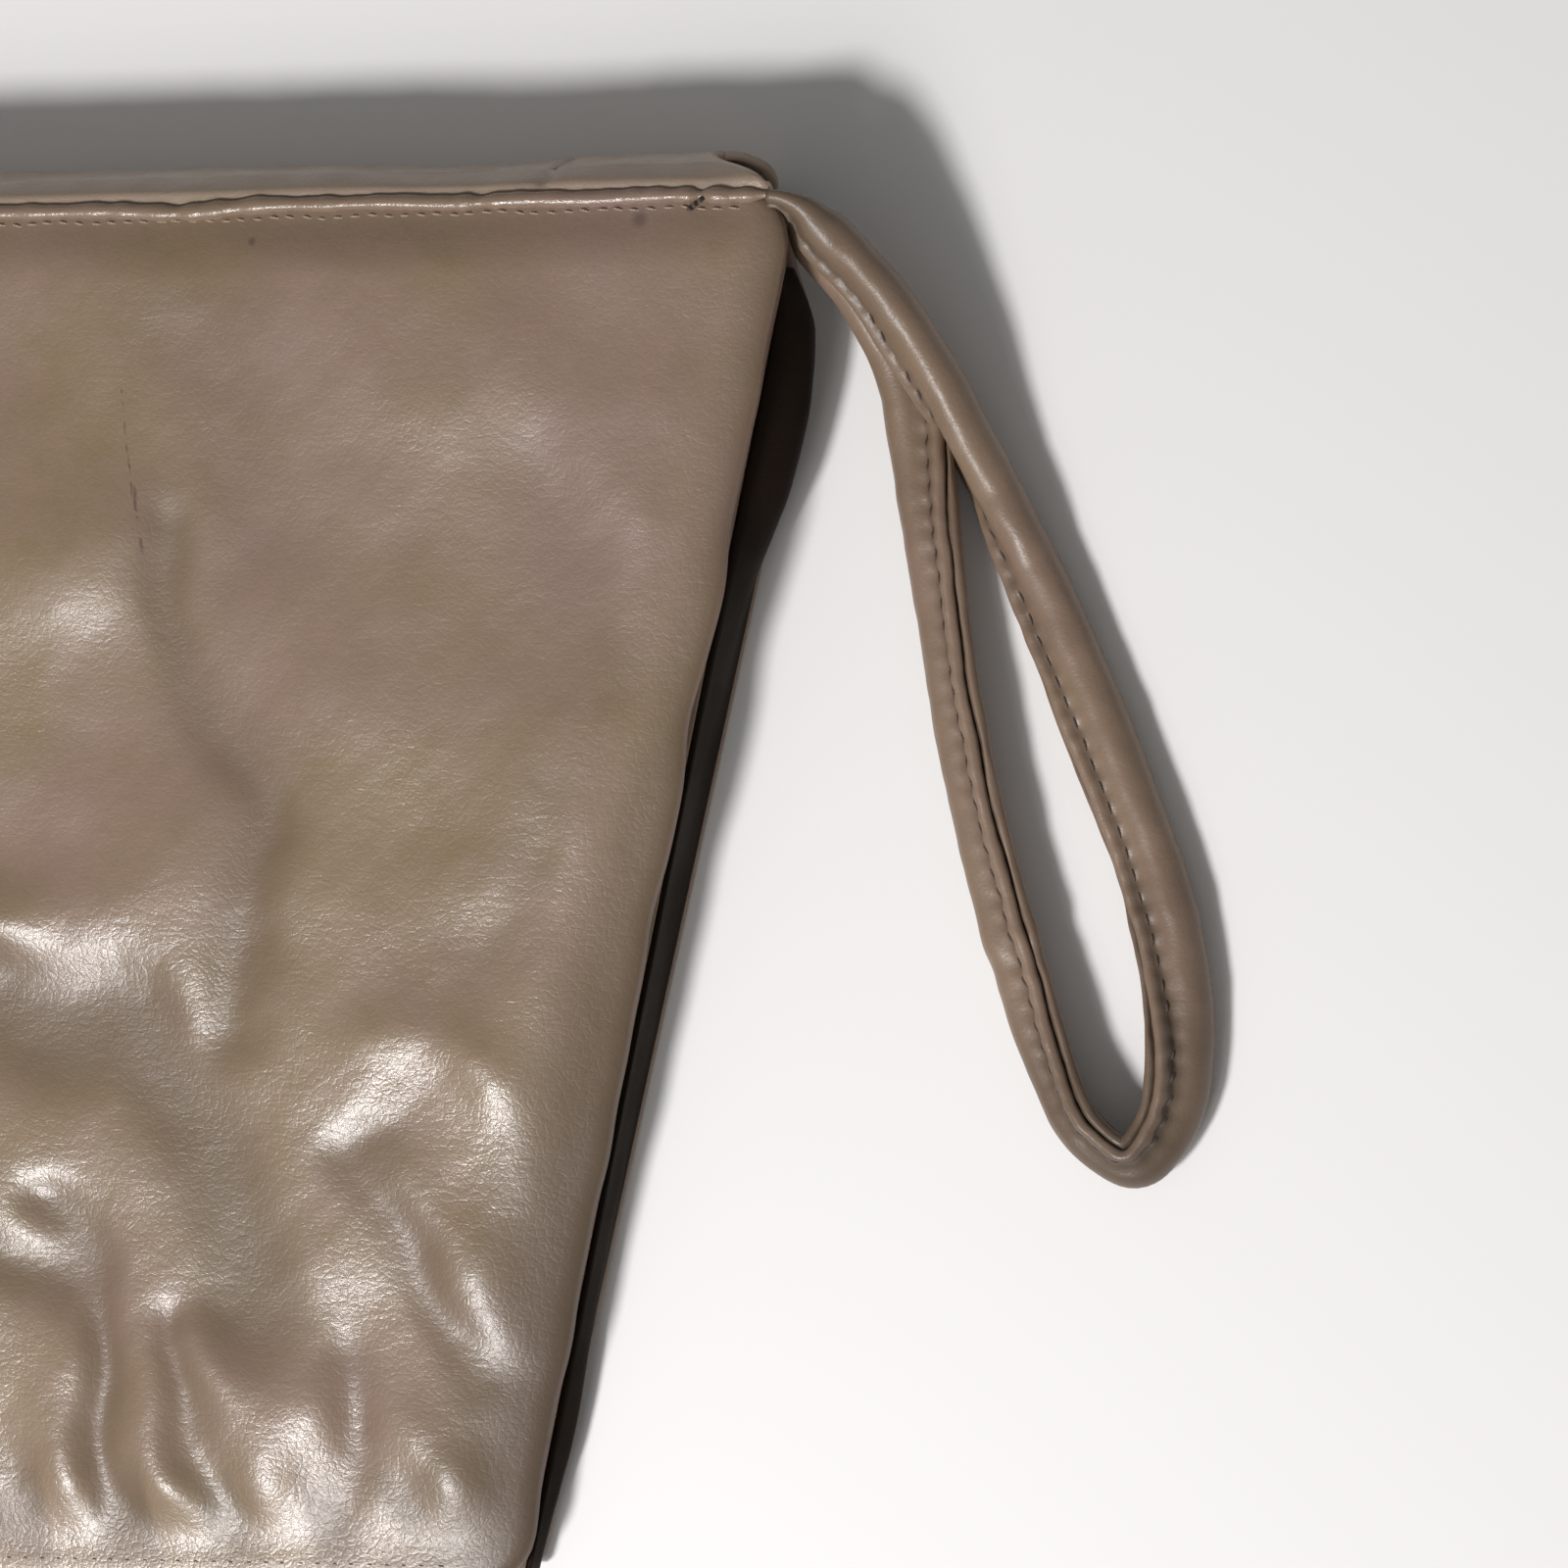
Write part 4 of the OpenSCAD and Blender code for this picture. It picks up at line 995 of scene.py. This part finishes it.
def wrist_strap():
    """The rolled strap as one loop, with its sewn groove, lips and slit, and its stitches."""
    line, run, roll = strap_line()
    along = np.gradient(line, axis=0)
    along /= np.linalg.norm(along, axis=1)[:, None]
    side = np.cross(along, [0, 0, 1.0])
    side /= np.linalg.norm(side, axis=1)[:, None]
    up = np.cross(side, along)
    outline = strap_outline()
    bend = np.radians(roll + 3 * waves(run, 0 * run, 22, 131))
    from_end = np.minimum(run, run[-1] - run)
    wide = 0.28 + 0.60 * smooth((from_end - 1) / 10) + 0.12 * smooth((from_end - 14) / 30)
    tall = 0.26 + 0.62 * smooth((from_end - 1) / 11) + 0.12 * smooth((from_end - 14) / 30)
    wide = wide * (1 + 0.025 * waves(run, 0 * run, 16, 132))
    a, b = outline[:, 0][None, :] * wide[:, None], outline[:, 1][None, :] * tall[:, None]

    # soft dents, a pleat where the loop has been bent, and puckers between the stitches
    kink = bump(run - 0.615 * run[-1], 2.2)
    place = np.arange(len(outline))[None, :]
    dents = 0.10 * waves(run[:, None], place * 1.4, 8, 133) + 0.05 * waves(run[:, None], place * 0.9, 3.2, 134)
    grow = 1 + (dents - 0.16 * kink[:, None] + 0.10 * bump(run - 0.615 * run[-1] - 3.4, 1.8)[:, None]) / BULGE_R
    a, b = a * (0.35 + 0.65 * grow), b * grow
    near_seam = np.exp(-((outline[:, 0] - SEWN_AT) / 1.5) ** 2)[None, :] * np.sign(outline[:, 1])[None, :]
    pucker = 0.16 * np.cos(2 * math.pi * run / 3.5)[:, None] + 0.08 * waves(run, 0 * run, 2.4, 135)[:, None]
    b = b - near_seam * pucker * wide[:, None]
    slit = np.exp(-((outline[:, 0] - 6.1) / 0.9) ** 2) * (np.abs(outline[:, 1]) < 0.3)
    b = b + slit[None, :] * (0.22 * waves(run, 0 * run, 9, 136) + 0.35 * kink)[:, None]

    c, t = np.cos(bend)[:, None], np.sin(bend)[:, None]
    level, rise = a * c - b * t, a * t + b * c
    shift, lift = -(level.max(1) + level.min(1)) / 2, np.maximum(0, 0.08 - line[:, 2] - rise.min(1))
    core = line + side * shift[:, None] + up * lift[:, None]
    ring = core[:, None] + side[:, None] * level[..., None] + up[:, None] * rise[..., None]
    count, n = ring.shape[:2]
    faces = grid_faces(count, n, 0, wrap=True) + [list(range(n)), [(count - 1) * n + k for k in range(n)][::-1]]
    # painted shade in the sewn groove and in the slit between the lips
    deep = np.exp(-((outline[:, 0] - SEWN_AT) / 0.8) ** 2) * 0.55 + 0.9 * (slit > 0.2)
    # painted shade at the loop's far bend and at the root by the flap, with some random tone
    shade = 0.75 * bump(run - 0.5 * run[-1], 30) + 0.6 * smooth((26 - run) / 20) + 0.12 * waves(run, 0 * run, 15, 137)
    # painted highlight along the lips' edges
    rim_highlight = 0.25 * np.exp(-((outline[:, 0] - LIP_END) / 0.5) ** 2) * (np.abs(outline[:, 1]) > 0.4)
    made = piece("wrist_strap_leather", ring.reshape(-1, 3), faces, FINISH["strap_leather"], "strap_leather",
                 fold=np.clip(deep[None, :] + shade[:, None], 0, 1), edge=np.repeat(rim_highlight[None, :], count, 0))
    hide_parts("strap_cover", "strap_root")
    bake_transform(made)

    cord = (run > 12) & (run < run[-1] - 12)
    turns = np.linspace(0, 2 * math.pi, 12, endpoint=False)
    thick = 2.55 * tall[cord, None, None]
    wound = core[cord, None] + thick * (side[cord, None] * np.cos(turns)[None, :, None]
                                        + up[cord, None] * np.sin(turns)[None, :, None])
    faces = grid_faces(len(wound), 12, 0, wrap=True)
    faces += [list(range(12)), [(len(wound) - 1) * 12 + k for k in range(12)][::-1]]
    filler = piece("wrist_strap_cord", wound.reshape(-1, 3), faces, FINISH["strap_filler"], "strap_filler")
    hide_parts("strap_core")
    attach(filler, "strap")

    index = int(np.argmin(np.hypot(outline[:, 0] - SEWN_AT, outline[:, 1] - 1.5)))
    other = int(np.argmin(np.hypot(outline[:, 0] - SEWN_AT, outline[:, 1] + 1.5)))
    inside = (run > 22) & (run < run[-1] - 26)
    for name, k, seed in (("upper", index, 7), ("lower", other, 8)):
        before, after = ring[:, k - 1], ring[:, (k + 1) % n]
        out = np.cross(after - before, along)
        out = out / np.linalg.norm(out, axis=1)[:, None]
        centre = ring.mean(1)
        out = out * np.sign(np.einsum("ij,ij->i", out, ring[:, k] - centre))[:, None]
        path = ring[:, k] + 0.06 * out
        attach(stitch_row(f"wrist_strap_stitches_{name}", path[inside], out[inside], 3.5, 2.3, 0.42,
                           DARK_THREAD, 0.04, seed), "strap")
    return made


# ---------------------------------------------------------------- stage
def stage():
    floor = bpy.data.meshes.new("studio_floor")
    r = 3.0
    floor.from_pydata([(-r, -r, 0), (r, -r, 0), (r, r, 0), (-r, r, 0)], [], [(0, 1, 2, 3)])
    floor.materials.append(floor_finish())
    ground = bpy.data.objects.new("studio_floor", floor)
    bpy.context.scene.collection.objects.link(ground)
    ground.location.z = -0.0002

    world = bpy.data.worlds.new("studio")
    world.use_nodes = True
    world.node_tree.nodes["Background"].inputs["Color"].default_value = (1.0, 0.99, 0.97, 1)
    world.node_tree.nodes["Background"].inputs["Strength"].default_value = 0.20
    bpy.context.scene.world = world
    bpy.context.scene.view_settings.view_transform = "Standard"

    middle = Vector((70, 0, 10)) * MM
    for name, place, size, power, colour in (
            ("key", (-0.27, -0.52, 0.88), 0.20, 8.6, (1.0, 0.98, 0.98)),
            ("soft", (-0.25, -0.85, 0.95), 0.60, 3.8, (1.0, 0.96, 0.93))):
        light = bpy.data.lights.new(name, "AREA")
        light.shape, light.size, light.energy, light.color = "DISK", size, power, colour
        lamp = bpy.data.objects.new(name, light)
        lamp.location = middle + Vector(place)
        lamp.rotation_euler = (middle - lamp.location).to_track_quat("-Z", "Y").to_euler()
        bpy.context.scene.collection.objects.link(lamp)


def camera():
    """Looks down on the strap end of the wallet, a little from its right."""
    yaw, lean, roll = math.radians(17.35), math.radians(0.46), math.radians(0.48)
    target, distance, frame_wide = Vector((137.82, 16.64, 16.0)) * MM, 1.4, 232.9 * MM
    back = Vector((math.sin(yaw), math.sin(lean), math.cos(yaw) * math.cos(lean))).normalized()
    right = Vector((math.cos(yaw), 0, -math.sin(yaw)))
    up = back.cross(right).normalized()
    right = up.cross(back).normalized()
    right, up = right * math.cos(roll) - up * math.sin(roll), right * math.sin(roll) + up * math.cos(roll)
    data = bpy.data.cameras.new("camera")
    data.sensor_width = 36.0
    data.lens = 36.0 * distance / frame_wide
    data.clip_start, data.clip_end = 0.05, 20.0
    made = bpy.data.objects.new("camera", data)
    made.matrix_world = Matrix(((right.x, up.x, back.x, 0), (right.y, up.y, back.y, 0),
                                (right.z, up.z, back.z, 0), (0, 0, 0, 1)))
    made.location = target + back * distance
    bpy.context.scene.collection.objects.link(made)
    bpy.context.scene.camera = made


camera()
stage()
flap_leather()
flap_lining_cloth()
seam_ridge_welt()
hem_strip()
spine()
back_leather()
pouch_board()
front_wall_leather()
front_lining_cloth()
binding()
gusset("gusset_right", 1)
gusset("gusset_left", -1)
base_leather()
zip_surround()
zip_tapes()
card_pockets()
wrist_strap()
